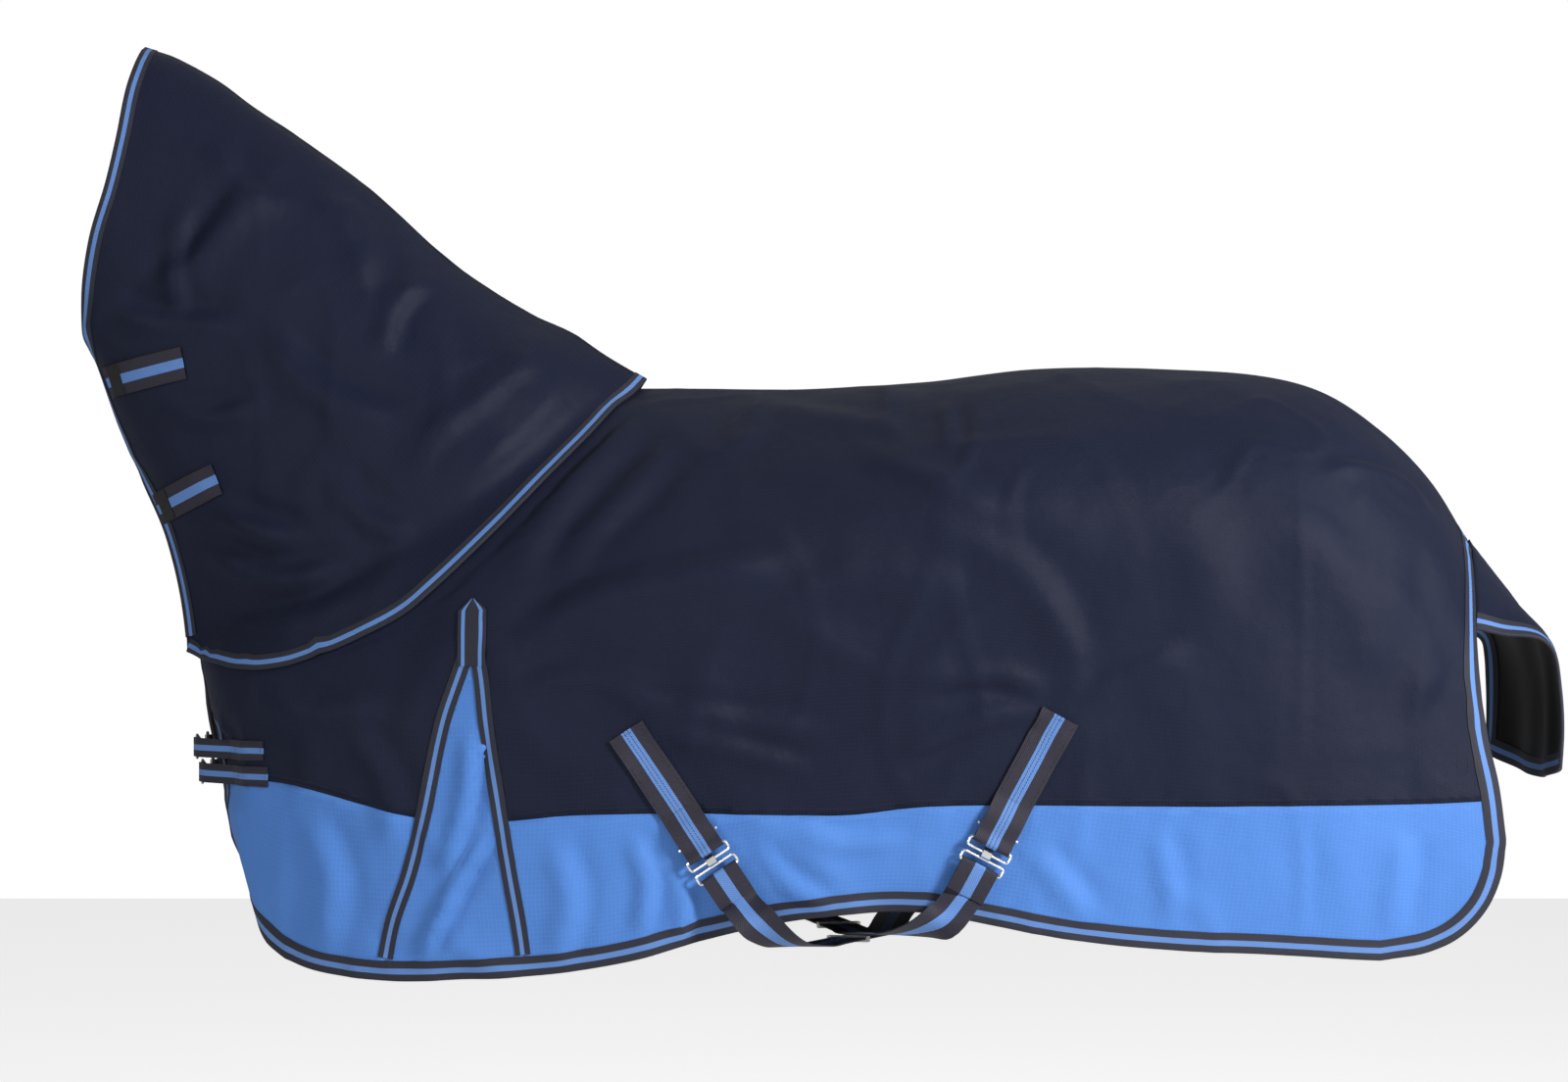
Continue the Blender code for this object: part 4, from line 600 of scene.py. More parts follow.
def inside_polygon(points, polygon):
    inside = np.zeros(len(points), bool)
    for (x0, y0), (x1, y1) in zip(polygon, np.roll(polygon, -1, axis=0)):
        spans = (y0 > points[:, 1]) != (y1 > points[:, 1])
        crossing = (x1 - x0) * (points[:, 1] - y0) / (y1 - y0 + 1e-15) + x0
        inside ^= spans & (points[:, 0] < crossing)
    return inside


def dense(line, step):
    """A line of points with more put in, so that none lie further apart than step."""
    made = [line[:1]]
    for a, b in zip(line, line[1:]):
        count = max(int(np.ceil(np.linalg.norm(b - a) / step)), 1)
        made.append(a + (b - a) * (np.arange(1, count + 1) / count)[:, None])
    return np.concatenate(made)


def triangulated(skin, outline, lines, step):
    """(u, v) points and triangles over the inside of an outline, with edges along the lines."""
    closed = dense(np.concatenate([outline, outline[:1]]) * skin.size, step)[:-1]
    crossing = [dense(line * skin.size, step) for line in lines]
    crossing = [line[inside_polygon(line, closed)] for line in crossing]
    rows = np.arange(0, skin.size[1] + step, step * 0.866)
    columns = np.arange(0, skin.size[0] + step, step)
    grid = np.array([(x + (step / 2 if k % 2 else 0), y) for k, y in enumerate(rows) for x in columns])
    grid = grid[inside_polygon(grid, closed)]
    fixed = np.concatenate([closed, *crossing])
    tree = KDTree(len(fixed))
    for k, (x, y) in enumerate(fixed):
        tree.insert((x, y, 0), k)
    tree.balance()
    grid = grid[[tree.find((x, y, 0))[2] > 0.6 * step for x, y in grid]]
    edges = [(k, (k + 1) % len(closed)) for k in range(len(closed))]
    start = len(closed)
    for line in crossing:
        edges += [(k, k + 1) for k in range(start, start + len(line) - 1)]
        start += len(line)
    points = [Vector(p) for p in np.concatenate([fixed, grid])]
    verts, _, faces = delaunay_2d_cdt(points, edges, [], 1, 1e-6)[:3]
    return np.array([tuple(p) for p in verts]) / skin.size, np.array(faces)


def mesh_object(name, points, faces, kind, uv):
    mesh = bpy.data.meshes.new(name)
    mesh.from_pydata([tuple(p) for p in points], [], [tuple(int(k) for k in f) for f in faces])
    layer = mesh.uv_layers.new(name="cloth")
    corners = np.array([loop.vertex_index for loop in mesh.loops])
    layer.data.foreach_set("uv", np.asarray(uv, np.float32)[corners].ravel())
    mesh.materials.append(kind)
    mesh.shade_smooth()
    mesh.update()
    obj = bpy.data.objects.new(name, mesh)
    bpy.context.scene.collection.objects.link(obj)
    return obj


def sheet_piece(name, skin, uv, faces, look, body="rug", node=None):
    """A layer of cloth over chosen triangles of a skin, lining or outer panel by its look."""
    height, thick = (LINING_TOP, LINING_TOP) if look == "lining" else (SHELL_TOP, SHELL_TOP - SHELL_LOW)
    used, faces = np.unique(faces, return_inverse=True)
    faces = faces.reshape(-1, 3)
    if skin.side > 0:
        faces = faces[:, ::-1]
    uv = uv[used]
    obj = mesh_object(name, skin.at(uv[:, 0], uv[:, 1], height), faces, LOOKS[look], uv * skin.size)
    solid = obj.modifiers.new("thickness", "SOLIDIFY")
    solid.thickness, solid.offset = thick, -1.0
    return placed(obj, body, [node])


def slab(name, middle, thick, look, across=None, body="rug", nodes=()):
    """A band of even thickness on both sides of a grid of points, along by across."""
    along_way = np.gradient(middle, axis=0)
    normals = unit(np.cross(np.gradient(middle, axis=1), along_way))
    count, wide = middle.shape[:2]
    points = np.concatenate([(middle + normals * thick / 2).reshape(-1, 3),
                             (middle - normals * thick / 2).reshape(-1, 3)])
    index = np.arange(count * wide).reshape(count, wide)
    under = index + count * wide
    a, b, c, d = index[:-1, :-1], index[1:, :-1], index[1:, 1:], index[:-1, 1:]
    faces = np.stack([a, d, c, b], -1).reshape(-1, 4).tolist()
    faces += [[k + count * wide for k in f[::-1]] for f in faces]
    ring = np.concatenate([index[:, 0], index[-1, 1:], index[-2::-1, -1], index[0, -2:0:-1]])
    lower = ring + (under[0, 0] - index[0, 0])
    faces += [[ring[k - 1], ring[k], lower[k], lower[k - 1]] for k in range(len(ring))]
    steps = np.linalg.norm(np.diff(middle[:, wide // 2], axis=0), axis=1)
    length = np.concatenate([[0.0], np.cumsum(steps)])
    if across is None:
        steps = np.linalg.norm(np.diff(middle[count // 2], axis=0), axis=1)
        across = np.concatenate([[0.0], np.cumsum(steps)])
        across = across - across[-1] / 2
    uv = np.stack([np.repeat(length, wide), np.tile(across, count)], 1)
    obj = mesh_object(name, points, faces, LOOKS[look], np.concatenate([uv, uv]))
    obj.data.set_sharp_from_angle(angle=math.radians(50))
    if signed_volume(points, obj.data) < 0:
        obj.data.flip_normals()
    return placed(obj, body, nodes)


def signed_volume(points, mesh):
    mesh.calc_loop_triangles()
    corners = np.array([points[list(t.vertices)] for t in mesh.loop_triangles])
    return np.einsum("ij,ij->i", corners[:, 0], np.cross(corners[:, 1], corners[:, 2])).sum()


# Materials.

def nodes_of(name):
    made = bpy.data.materials.new(name)
    made.use_nodes = True
    return made, made.node_tree, made.node_tree.nodes["Principled BSDF"]


def add(tree, kind, **inputs):
    node = tree.nodes.new(kind)
    for key, value in inputs.items():
        if hasattr(node, key):
            setattr(node, key, value)
        else:
            node.inputs[key.replace("_", " ")].default_value = value
    return node


def math_node(tree, operation, first, second=None, third=None, clamp=False):
    node = tree.nodes.new("ShaderNodeMath")
    node.operation, node.use_clamp = operation, clamp
    for socket, value in zip(node.inputs, (first, second, third)):
        if value is None:
            continue
        if isinstance(value, (int, float)):
            socket.default_value = value
        else:
            tree.links.new(value, socket)
    return node.outputs[0]


def mix_colour(tree, factor, first, second):
    node = tree.nodes.new("ShaderNodeMix")
    node.data_type = "RGBA"
    for socket, value in ((node.inputs[0], factor), (node.inputs[6], first), (node.inputs[7], second)):
        if isinstance(value, tuple):
            socket.default_value = (*value, 1.0)
        elif isinstance(value, (int, float)):
            socket.default_value = value
        else:
            tree.links.new(value, socket)
    return node.outputs[2]


def bump(tree, shader, height, strength, distance):
    node = tree.nodes.new("ShaderNodeBump")
    node.inputs["Strength"].default_value = strength
    node.inputs["Distance"].default_value = distance
    tree.links.new(height, node.inputs["Height"])
    tree.links.new(node.outputs["Normal"], shader.inputs["Normal"])


def cloth_place(tree):
    """The UV map in metres, its two coordinates, and the object's own coordinates."""
    uv = tree.nodes.new("ShaderNodeUVMap")
    uv.uv_map = "cloth"
    split = tree.nodes.new("ShaderNodeSeparateXYZ")
    tree.links.new(uv.outputs["UV"], split.inputs[0])
    place = tree.nodes.new("ShaderNodeTexCoord")
    return split.outputs["X"], split.outputs["Y"], place.outputs["Object"]


def lines(tree, coordinate, pitch, share):
    """1 on thin lines at an even pitch."""
    wave = math_node(tree, "FRACT", math_node(tree, "DIVIDE", coordinate, pitch))
    return math_node(tree, "LESS_THAN", wave, share)


def noise_at(tree, place, scale, detail=3.0):
    node = add(tree, "ShaderNodeTexNoise", Scale=scale, Detail=detail)
    tree.links.new(place, node.inputs["Vector"])
    return node.outputs["Fac"]


def ripstop(name, colour, light, roughness, sheen):
    """Coated cloth with a grid of thicker threads, a fine weave, and soft crumples."""
    made, tree, shader = nodes_of(name)
    u, v, place = cloth_place(tree)
    grid = math_node(tree, "MAXIMUM", lines(tree, u, 0.0055, 0.14), lines(tree, v, 0.0055, 0.14))
    weave = math_node(tree, "MULTIPLY", math_node(tree, "SINE", math_node(tree, "MULTIPLY", u, 6300)),
                      math_node(tree, "SINE", math_node(tree, "MULTIPLY", v, 6300)))
    broad = noise_at(tree, place, 5.0)
    fine = noise_at(tree, place, 90.0, 4.0)
    tone = math_node(tree, "MULTIPLY_ADD", math_node(tree, "SUBTRACT", broad, 0.5), 0.9, 0.35, clamp=True)
    base = mix_colour(tree, tone, colour, light)
    thread = tuple(min(c * 1.7, 1) for c in light)
    base = mix_colour(tree, math_node(tree, "MULTIPLY", grid, 0.16), base, thread)
    tree.links.new(base, shader.inputs["Base Color"])
    rough = math_node(tree, "MULTIPLY_ADD", fine, 0.16, roughness - 0.08)
    tree.links.new(rough, shader.inputs["Roughness"])
    crumple = noise_at(tree, place, 26.0, 5.0)
    height = math_node(tree, "MULTIPLY", grid, 0.10)
    height = math_node(tree, "MULTIPLY_ADD", weave, 0.03, height)
    height = math_node(tree, "MULTIPLY_ADD", crumple, 1.2, height)
    bump(tree, shader, height, 0.6, 0.0030)
    shader.inputs["Sheen Weight"].default_value = sheen
    shader.inputs["Sheen Roughness"].default_value = 0.45
    shader.inputs["Specular IOR Level"].default_value = 0.13
    return made


def lining_cloth():
    made, tree, shader = nodes_of("lining_black")
    u, v, place = cloth_place(tree)
    weave = math_node(tree, "MULTIPLY", math_node(tree, "SINE", math_node(tree, "MULTIPLY", u, 4200)),
                      math_node(tree, "SINE", math_node(tree, "MULTIPLY", v, 4200)))
    broad = noise_at(tree, place, 9.0)
    tree.links.new(mix_colour(tree, broad, (0.0035, 0.0035, 0.0040), (0.0085, 0.0085, 0.0095)),
                   shader.inputs["Base Color"])
    tree.links.new(math_node(tree, "MULTIPLY_ADD", broad, 0.2, 0.38), shader.inputs["Roughness"])
    height = math_node(tree, "MULTIPLY_ADD", noise_at(tree, place, 30.0, 4.0), 1.0,
                       math_node(tree, "MULTIPLY", weave, 0.05))
    bump(tree, shader, height, 0.5, 0.0015)
    return made


def woven_tape(name, dark, stripe, centre, half, rib, stitches=()):
    """Woven tape or webbing with a stripe along it, ribs across it and rows of stitches."""
    made, tree, shader = nodes_of(name)
    u, v, place = cloth_place(tree)
    ribs = math_node(tree, "SINE", math_node(tree, "MULTIPLY", math_node(tree, "MULTIPLY_ADD", v, 0.8, u),
                                             2 * math.pi / rib))
    fine = math_node(tree, "SINE", math_node(tree, "MULTIPLY", v, 2 * math.pi / 0.0011))
    distance = math_node(tree, "ABSOLUTE", math_node(tree, "SUBTRACT", v, centre))
    on_stripe = math_node(tree, "LESS_THAN", distance, half)
    speck = noise_at(tree, place, 260.0, 2.0)
    dull = mix_colour(tree, speck, tuple(c * 0.75 for c in dark), tuple(c * 1.5 for c in dark))
    bright = mix_colour(tree, math_node(tree, "MULTIPLY_ADD", ribs, 0.32, 0.5),
                        tuple(c * 0.68 for c in stripe), tuple(min(c * 1.15, 1) for c in stripe))
    colour = mix_colour(tree, on_stripe, dull, bright)
    height = math_node(tree, "MULTIPLY_ADD", ribs, 0.5, math_node(tree, "MULTIPLY", fine, 0.25))
    for row in stitches:
        away = math_node(tree, "ABSOLUTE", math_node(tree, "SUBTRACT", v, row))
        line = math_node(tree, "LESS_THAN", away, 0.00045)
        thread = math_node(tree, "MULTIPLY", line, lines(tree, u, 0.0042, 0.74))
        colour = mix_colour(tree, thread, colour, tuple(c * 0.9 for c in dark))
        height = math_node(tree, "MULTIPLY_ADD", line, -0.8, height)
    tree.links.new(colour, shader.inputs["Base Color"])
    shader.inputs["Roughness"].default_value = 0.66
    shader.inputs["Sheen Weight"].default_value = 0.04
    shader.inputs["Sheen Roughness"].default_value = 0.4
    bump(tree, shader, height, 0.6, 0.00045)
    return made


def hook_tape():
    """Black hook-and-loop tape."""
    made, tree, shader = nodes_of("hook_tape")
    place = cloth_place(tree)[2]
    cells = add(tree, "ShaderNodeTexVoronoi", Scale=900.0)
    tree.links.new(place, cells.inputs["Vector"])
    colour = mix_colour(tree, cells.outputs["Distance"], (0.004, 0.004, 0.004), (0.016, 0.016, 0.017))
    tree.links.new(colour, shader.inputs["Base Color"])
    shader.inputs["Roughness"].default_value = 0.9
    bump(tree, shader, cells.outputs["Distance"], 0.8, 0.0008)
    return made


def nickel():
    """Nickel plate with fine rubbing marks."""
    made, tree, shader = nodes_of("nickel")
    place = cloth_place(tree)[2]
    worn = noise_at(tree, place, 160.0, 5.0)
    colour = mix_colour(tree, worn, (0.76, 0.75, 0.72), (0.94, 0.93, 0.90))
    tree.links.new(colour, shader.inputs["Base Color"])
    tree.links.new(math_node(tree, "MULTIPLY_ADD", worn, 0.22, 0.14), shader.inputs["Roughness"])
    shader.inputs["Metallic"].default_value = 1.0
    bump(tree, shader, noise_at(tree, place, 700.0, 2.0), 0.12, 0.0002)
    return made


def thread_material(name, colour):
    made, tree, shader = nodes_of(name)
    place = cloth_place(tree)[2]
    twist = noise_at(tree, place, 1500.0, 1.0)
    twisted = mix_colour(tree, twist, tuple(c * 0.8 for c in colour), colour)
    tree.links.new(twisted, shader.inputs["Base Color"])
    shader.inputs["Roughness"].default_value = 0.55
    bump(tree, shader, twist, 0.4, 0.0002)
    return made


def two_stripes():
    """The gusset patch's tape, with a stripe near each edge."""
    made, tree, shader = nodes_of("tab_tape")
    u, v, place = cloth_place(tree)
    ribs = math_node(tree, "SINE", math_node(tree, "MULTIPLY", math_node(tree, "ADD", u, v), 2600))
    away = math_node(tree, "ABSOLUTE", math_node(tree, "SUBTRACT", math_node(tree, "ABSOLUTE", v), 0.0115))
    stripe = math_node(tree, "LESS_THAN", away, 0.0024)
    speck = noise_at(tree, place, 260.0, 2.0)
    dull = mix_colour(tree, speck, tuple(c * 0.75 for c in TAPE_DARK), tuple(c * 1.5 for c in TAPE_DARK))
    tree.links.new(mix_colour(tree, stripe, dull, STRIPE), shader.inputs["Base Color"])
    shader.inputs["Roughness"].default_value = 0.66
    bump(tree, shader, ribs, 0.5, 0.0004)
    return made


NAVY, NAVY_LIGHT = (0.0062, 0.0088, 0.0240), (0.0100, 0.0135, 0.0340)
BLUE, BLUE_LIGHT = (0.066, 0.185, 0.520), (0.088, 0.230, 0.600)
TAPE_DARK, STRIPE = (0.0080, 0.0085, 0.0200), (0.100, 0.230, 0.560)
WEB_DARK = (0.0095, 0.0080, 0.0200)
LOOKS = {
    "navy": ripstop("navy_ripstop", NAVY, NAVY_LIGHT, 0.50, 0.02),
    "blue": ripstop("blue_ripstop", BLUE, BLUE_LIGHT, 0.52, 0.02),
    "lining": lining_cloth(),
    "hem": woven_tape("hem_tape", TAPE_DARK, STRIPE, BINDING_WIDTH / 2, HEM_STRIPE / 2, 0.0024,
                      (0.0025, BINDING_WIDTH - 0.0025)),
    "neck_edge": woven_tape("neck_tape", TAPE_DARK, STRIPE, NECK_BINDING_WIDTH / 2, NECK_STRIPE / 2, 0.0024,
                            (0.0020, NECK_BINDING_WIDTH - 0.0020)),
    "gusset": woven_tape("gusset_tape", TAPE_DARK, STRIPE, 0.0, GUSSET_STRIPE / 2, 0.0024,
                         (-GUSSET_TRIM_WIDTH / 2 + 0.0022, GUSSET_TRIM_WIDTH / 2 - 0.0022)),
    "plain_tape": woven_tape("plain_tape", TAPE_DARK, TAPE_DARK, 0.0, 0.001, 0.0024),
    "surcingle": woven_tape("surcingle_webbing", WEB_DARK, STRIPE, 0.0, SURCINGLE_STRIPE / 2, 0.0030),
    "sewn": woven_tape("sewn_webbing", WEB_DARK, STRIPE, 0.0, SURCINGLE_STRIPE / 2, 0.0030,
                       (-0.0022, 0.0030)),
    "chest": woven_tape("chest_webbing", WEB_DARK, STRIPE, 0.0, CHEST_STRIPE / 2, 0.0026,
                        (-0.0095, 0.0095)),
    "neck_tab": woven_tape("neck_tab_webbing", WEB_DARK, STRIPE, 0.0, NECK_TAB_STRIPE / 2, 0.0030,
                           (-0.0190, 0.0190)),
    "hooks": hook_tape(),
    "metal": nickel(),
    "thread": thread_material("dark_thread", (0.012, 0.012, 0.022)),
    "tab": two_stripes(),
}
SLOTS = {"navy": "outer_navy", "blue": "outer_blue", "lining": "lining_black",
         **dict.fromkeys(("hem", "neck_edge", "gusset", "plain_tape", "thread", "tab"), "binding_tape"),
         **dict.fromkeys(("surcingle", "sewn", "chest", "neck_tab", "hooks"), "webbing_navy")}


def placed(obj, body="rug", nodes=()):
    """Attaches a finished piece to its body and hides the CAD nodes that it stands for."""
    if body:
        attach(obj, body)
    if nodes:
        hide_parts(*nodes)
    return obj


# Cloth.

def edge_path(body):
    """The rug's edge: down the front, along the hem, round the rear corner and up to the tail head."""
    corner = body.trace(REAR_CORNER)
    down = np.linspace(0, 1, 101)
    front = np.stack([np.zeros(101), down], 1)
    hem_u = np.linspace(0, corner[0, 0], 170)[1:-1]
    hem = np.stack([hem_u, np.ones(len(hem_u))], 1)
    rear_v = np.linspace(corner[-1, 1], 0, 70)[1:]
    rear = np.stack([np.ones(len(rear_v)), rear_v], 1)
    return np.concatenate([front, hem, corner, rear])


def binding(name, skin, path, width, look, body="rug", nodes=()):
    """Tape folded over a cloth edge, from its outer leaf round the edge to its under leaf."""
    outer = np.linspace(width, 0.0012, 8)
    offsets, heights = list(outer), [TRIM_MID] * 8
    middle = (TRIM_MID + UNDER_MID) / 2
    radius = (TRIM_MID - UNDER_MID) / 2
    for k in np.linspace(20, 160, 6):
        offsets.append(0.0012 - 0.0009 * math.sin(math.radians(k)))
        heights.append(middle + radius * math.cos(math.radians(k)))
    offsets += list(np.linspace(0.0012, width, 5))
    heights += [UNDER_MID] * 5
    columns = []
    for offset, height in zip(offsets, heights):
        moved = skin.shifted(path, offset)
        columns.append(skin.at(moved[:, 0], moved[:, 1], height))
    return slab(name, np.stack(columns, 1), TRIM_THICK, look, np.array(offsets), body, nodes)


def flat_tape(name, skin, path, offsets, height, thick, look, body="rug", nodes=()):
    """Tape laid flat on a skin along a path."""
    columns = []
    for offset in offsets:
        moved = skin.shifted(path, offset)
        columns.append(skin.at(moved[:, 0], moved[:, 1], height))
    return slab(name, np.stack(columns, 1), thick, look, np.array(offsets), body, nodes)


def stitches(name, centres, outward, pitch=0.0042, radius=0.00042):
    """A row of sewn thread along a line of points, each stitch a small tapered roll."""
    steps = np.concatenate([[0.0], np.cumsum(np.linalg.norm(np.diff(centres, axis=0), axis=1))])
    count = max(int(steps[-1] / pitch), 1)
    starts = np.arange(count) * steps[-1] / count

    def read(table, at):
        return np.stack([np.interp(at, steps, table[:, k]) for k in range(3)], 1)

    span = steps[-1] / count
    ends = read(centres, starts + span * 0.10), read(centres, starts + span * 0.86)
    up = unit(read(outward, starts + span * 0.5))
    way = unit(ends[1] - ends[0])
    across = np.cross(way, up)
    points = [ends[0] - up * radius * 0.6]
    for share in (0.22, 0.5, 0.78):
        centre = ends[0] + (ends[1] - ends[0]) * share
        size = radius * (1.0 if share == 0.5 else 0.86)
        for angle in np.arange(6) * math.pi / 3:
            points.append(centre + (across * math.cos(angle) + up * math.sin(angle)) * size)
    points.append(ends[1] - up * radius * 0.6)
    points = np.stack(points, 1)
    faces = [(0, 1 + (k + 1) % 6, 1 + k) for k in range(6)]
    faces += [(1 + r * 6 + k, 1 + r * 6 + (k + 1) % 6, 7 + r * 6 + (k + 1) % 6, 7 + r * 6 + k)
              for r in range(2) for k in range(6)]
    faces += [(13 + k, 13 + (k + 1) % 6, 19) for k in range(6)]
    every = [tuple(i * 20 + k for k in face) for i in range(count) for face in faces]
    obj = mesh_object(name, points.reshape(-1, 3), every, LOOKS["thread"], np.zeros((count * 20, 2)))
    return placed(obj)


def sewn_line(name, skin, path):
    """Stitches on a panel along a path of (u, v) points."""
    low, high = (skin.at(path[:, 0], path[:, 1], SHELL_TOP + lift) for lift in (0.0002, 0.0102))
    return stitches(name, low, high - low)


def even(half, count=5):
    return np.linspace(-half, half, count)


def body_cloth(side_name, body):
    """The panels, skirts, gusset, lining, binding and gusset tapes of one side."""
    edge = edge_path(body)
    inset = body.shifted(edge, 0.0016)
    seam = body.trace(SKIRT_SEAM, 0.02)
    left, right = body.trace(GUSSET_LEFT, 0.012), body.trace(GUSSET_RIGHT, 0.012)
    uv, faces = triangulated(body, inset, (seam, left, right), CLOTH_STEP)
    middles = uv[faces].mean(axis=1)
    order = np.argsort(seam[:, 0])
    below = middles[:, 1] > np.interp(middles[:, 0], seam[order, 0], seam[order, 1])
    wedge = inside_polygon(middles, np.concatenate([left, right[::-1]]))
    ahead = middles[:, 0] < np.interp(middles[:, 1], left[:, 1], left[:, 0])
    parts = {"gusset": (wedge, "blue"), "front_skirt": (below & ~wedge & ahead, "blue"),
             "rear_skirt": (below & ~wedge & ~ahead, "blue"), "body_panel": (~below & ~wedge, "navy"),
             "lining": (below | ~below, "lining")}
    for part, (chosen, look) in parts.items():
        node = f"{part}_{side_name}"
        sheet_piece(f"{node}_cloth", body, uv, faces[chosen], look, node=node)
    binding(f"hem_binding_{side_name}_tape", body, edge, BINDING_WIDTH, "hem",
                              nodes=[f"hem_binding_{side_name}"])
    for which, outline in (("left", GUSSET_LEFT), ("right", GUSSET_RIGHT)):
        path = body.trace(outline, 0.004)
        down = np.linalg.norm(body.slopes(path[:, 0], np.minimum(path[:, 1], 0.995))[1], axis=1)
        path = path[(1 - path[:, 1]) * down > BINDING_WIDTH + 0.0005]
        nodes = [f"gusset_trim_{side_name}"] if which == "left" else ()
        flat_tape(f"gusset_trim_{which}_{side_name}_tape", body, path,
                               even(GUSSET_TRIM_WIDTH / 2), TRIM_MID, TRIM_THICK, "gusset", nodes=nodes)
    gusset_tab(side_name, body)
    seam = body.trace(SKIRT_SEAM)
    at = seam[:, 0]
    inner = (at > 0.012) & (at < 0.985)
    gusset = at[inner & (at > left[:, 0].min() - 0.004) & (at < right[:, 0].max() + 0.004)]
    for part, chosen in (("front", at < gusset[0]), ("rear", at > gusset[-1])):
        for row, offset in (("upper", 0.0030), ("lower", 0.0085)):
            path = body.shifted(seam[inner & chosen], offset)
            sewn_line(f"{part}_seam_{row}_stitches_{side_name}", body, path)
    x0, x1, z0, z1 = PATCH
    corners = [(x0, z0), (x1, z0), (x1, z1), (x0, z1), (x0, z0)]
    rows = [[(x, z0), (x, z1)] for x in (x0 + (x1 - x0) / 3, x0 + (x1 - x0) * 2 / 3)]
    for k, ends in enumerate([*zip(corners, corners[1:]), *rows]):
        sewn_line(f"patch_stitches_{k + 1}_{side_name}", body, body.trace(ends, 0.004))


def gusset_tab(side_name, body):
    """The pointed patch over the top of the gusset, with a stripe down each side."""
    path = body.trace(GUSSET_TAB_PATH, 0.003)
    point = np.linspace(0, 1, len(path))
    columns = []
    for offset in even(GUSSET_TAB_HALF, 9):
        narrow = np.minimum(1.0, 0.10 + point / 0.17 * 0.90)
        moved = np.array([body.shifted(path, offset * k)[i] for i, k in enumerate(narrow)])
        columns.append(body.at(moved[:, 0], moved[:, 1], TRIM_MID + TRIM_THICK + 0.0003))
    return slab(f"gusset_tab_{side_name}_patch", np.stack(columns, 1), TRIM_THICK, "tab",
                even(GUSSET_TAB_HALF, 9), nodes=[f"gusset_tab_{side_name}"])


def neck_cloth(side_name, neck):
    """The neck cover's panel, lining and bindings on one side."""
    down = np.linspace(0, 1, 75)
    face = np.stack([np.zeros(74), down[:-1]], 1)
    throat = np.stack([np.linspace(0, 1, 65)[:-1], np.ones(64)], 1)
    rim = np.stack([np.ones(len(down)), down[::-1]], 1)
    whole = np.concatenate([face, throat, rim])
    inset = neck.shifted(whole, PANEL_INSET)
    uv, faces = triangulated(neck, inset, (), CLOTH_STEP)
    panel, lining = (sheet_piece(f"{part}_{side_name}_cloth", neck, uv, faces, look,
                                 node=f"{part}_{side_name}")
                     for part, look in (("neck_panel", "navy"), ("neck_lining", "lining")))
    stop = 1 - 1.35 * NECK_BINDING_WIDTH / neck.size[0]
    edge = np.concatenate([face, throat[throat[:, 0] < stop]])
    for node, path in ((f"neck_edge_binding_{side_name}", edge), (f"neck_rim_binding_{side_name}", rim)):
        binding(f"{node}_tape", neck, path, NECK_BINDING_WIDTH, "neck_edge", nodes=[node])


def middle_tape(name, skin, start, end):
    """Tape along the middle line, under the lining."""
    u = np.linspace(start, end, 60)
    columns = []
    for offset in even(SPINE_TAPE_WIDTH / 2, 7):
        across = np.linalg.norm(skin.slopes(u, np.full(60, 0.004))[1], axis=1)
        columns.append(skin.near_place(u, offset / across, UNDER_MID))
    slab(f"{name}_strip", np.stack(columns, 1), TRIM_THICK, "plain_tape", nodes=[name])


def tail_flap_cloth(flap):
    """The tail flap's panel, lining and binding, which hang from its seam on the rug."""
    down = np.linspace(0, 1, 41)
    near = np.stack([np.zeros(40), down[:-1]], 1)
    bottom = np.stack([np.linspace(0, 1, 46)[:-1], np.ones(45)], 1)
    far = np.stack([np.ones(41), down[::-1]], 1)
    edge = np.concatenate([near, bottom, far])
    top = np.stack([np.linspace(1, 0, 45)[1:-1], np.zeros(43)], 1)
    inset = np.concatenate([flap.shifted(edge, PANEL_INSET), top])
    uv, faces = triangulated(flap, inset, (), CLOTH_STEP)
    panel = sheet_piece("tail_flap_panel_cloth", flap, uv, faces, "navy", None, "tail_flap_panel")
    lining = sheet_piece("tail_flap_lining_cloth", flap, uv, faces, "lining", None, "tail_flap_lining")
    tape = binding("tail_flap_binding_tape", flap, edge, BINDING_WIDTH, "hem", None, ["tail_flap_binding"])
    for obj in (panel, lining, tape):
        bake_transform(obj)


# Webbing.

class Fitting:
    """A flat place at a fitting: a along, s across and h out, on the near side before mirroring."""

    def __init__(self, origin, along, out, side):
        self.origin, self.along, self.out, self.side = origin, along, out, side
        self.across = np.cross(along, out)

    def __call__(self, a, s, h):
        a, s, h = (np.asarray(k, float)[..., None] for k in (a, s, h))
        return self.origin + self.along * a + self.across * s + self.out * h

    def world(self, a, s, h):
        return self(a, s, h) * np.array([1, self.side, 1])


def plate_fitting(node, side):
    """The flat place at a surcingle's loop plate, from the plate's own shape."""
    points = np.array([v.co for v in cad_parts[node].data.vertices]) * np.array([1, side, 1])
    centre = points.mean(axis=0)
    ways = np.linalg.svd(points - centre, full_matrices=False)[2]
    along, out = ways[1], ways[2]
    along = along * -np.sign(along[2])
    out = out * -np.sign(out[1])
    bar_height = WEBBING_LOW + ANCHOR_LIFT + BAR_REACH
    return Fitting(centre - along * (PLATE_REACH / 2 - BAR_REACH) - out * bar_height, along, out, side)


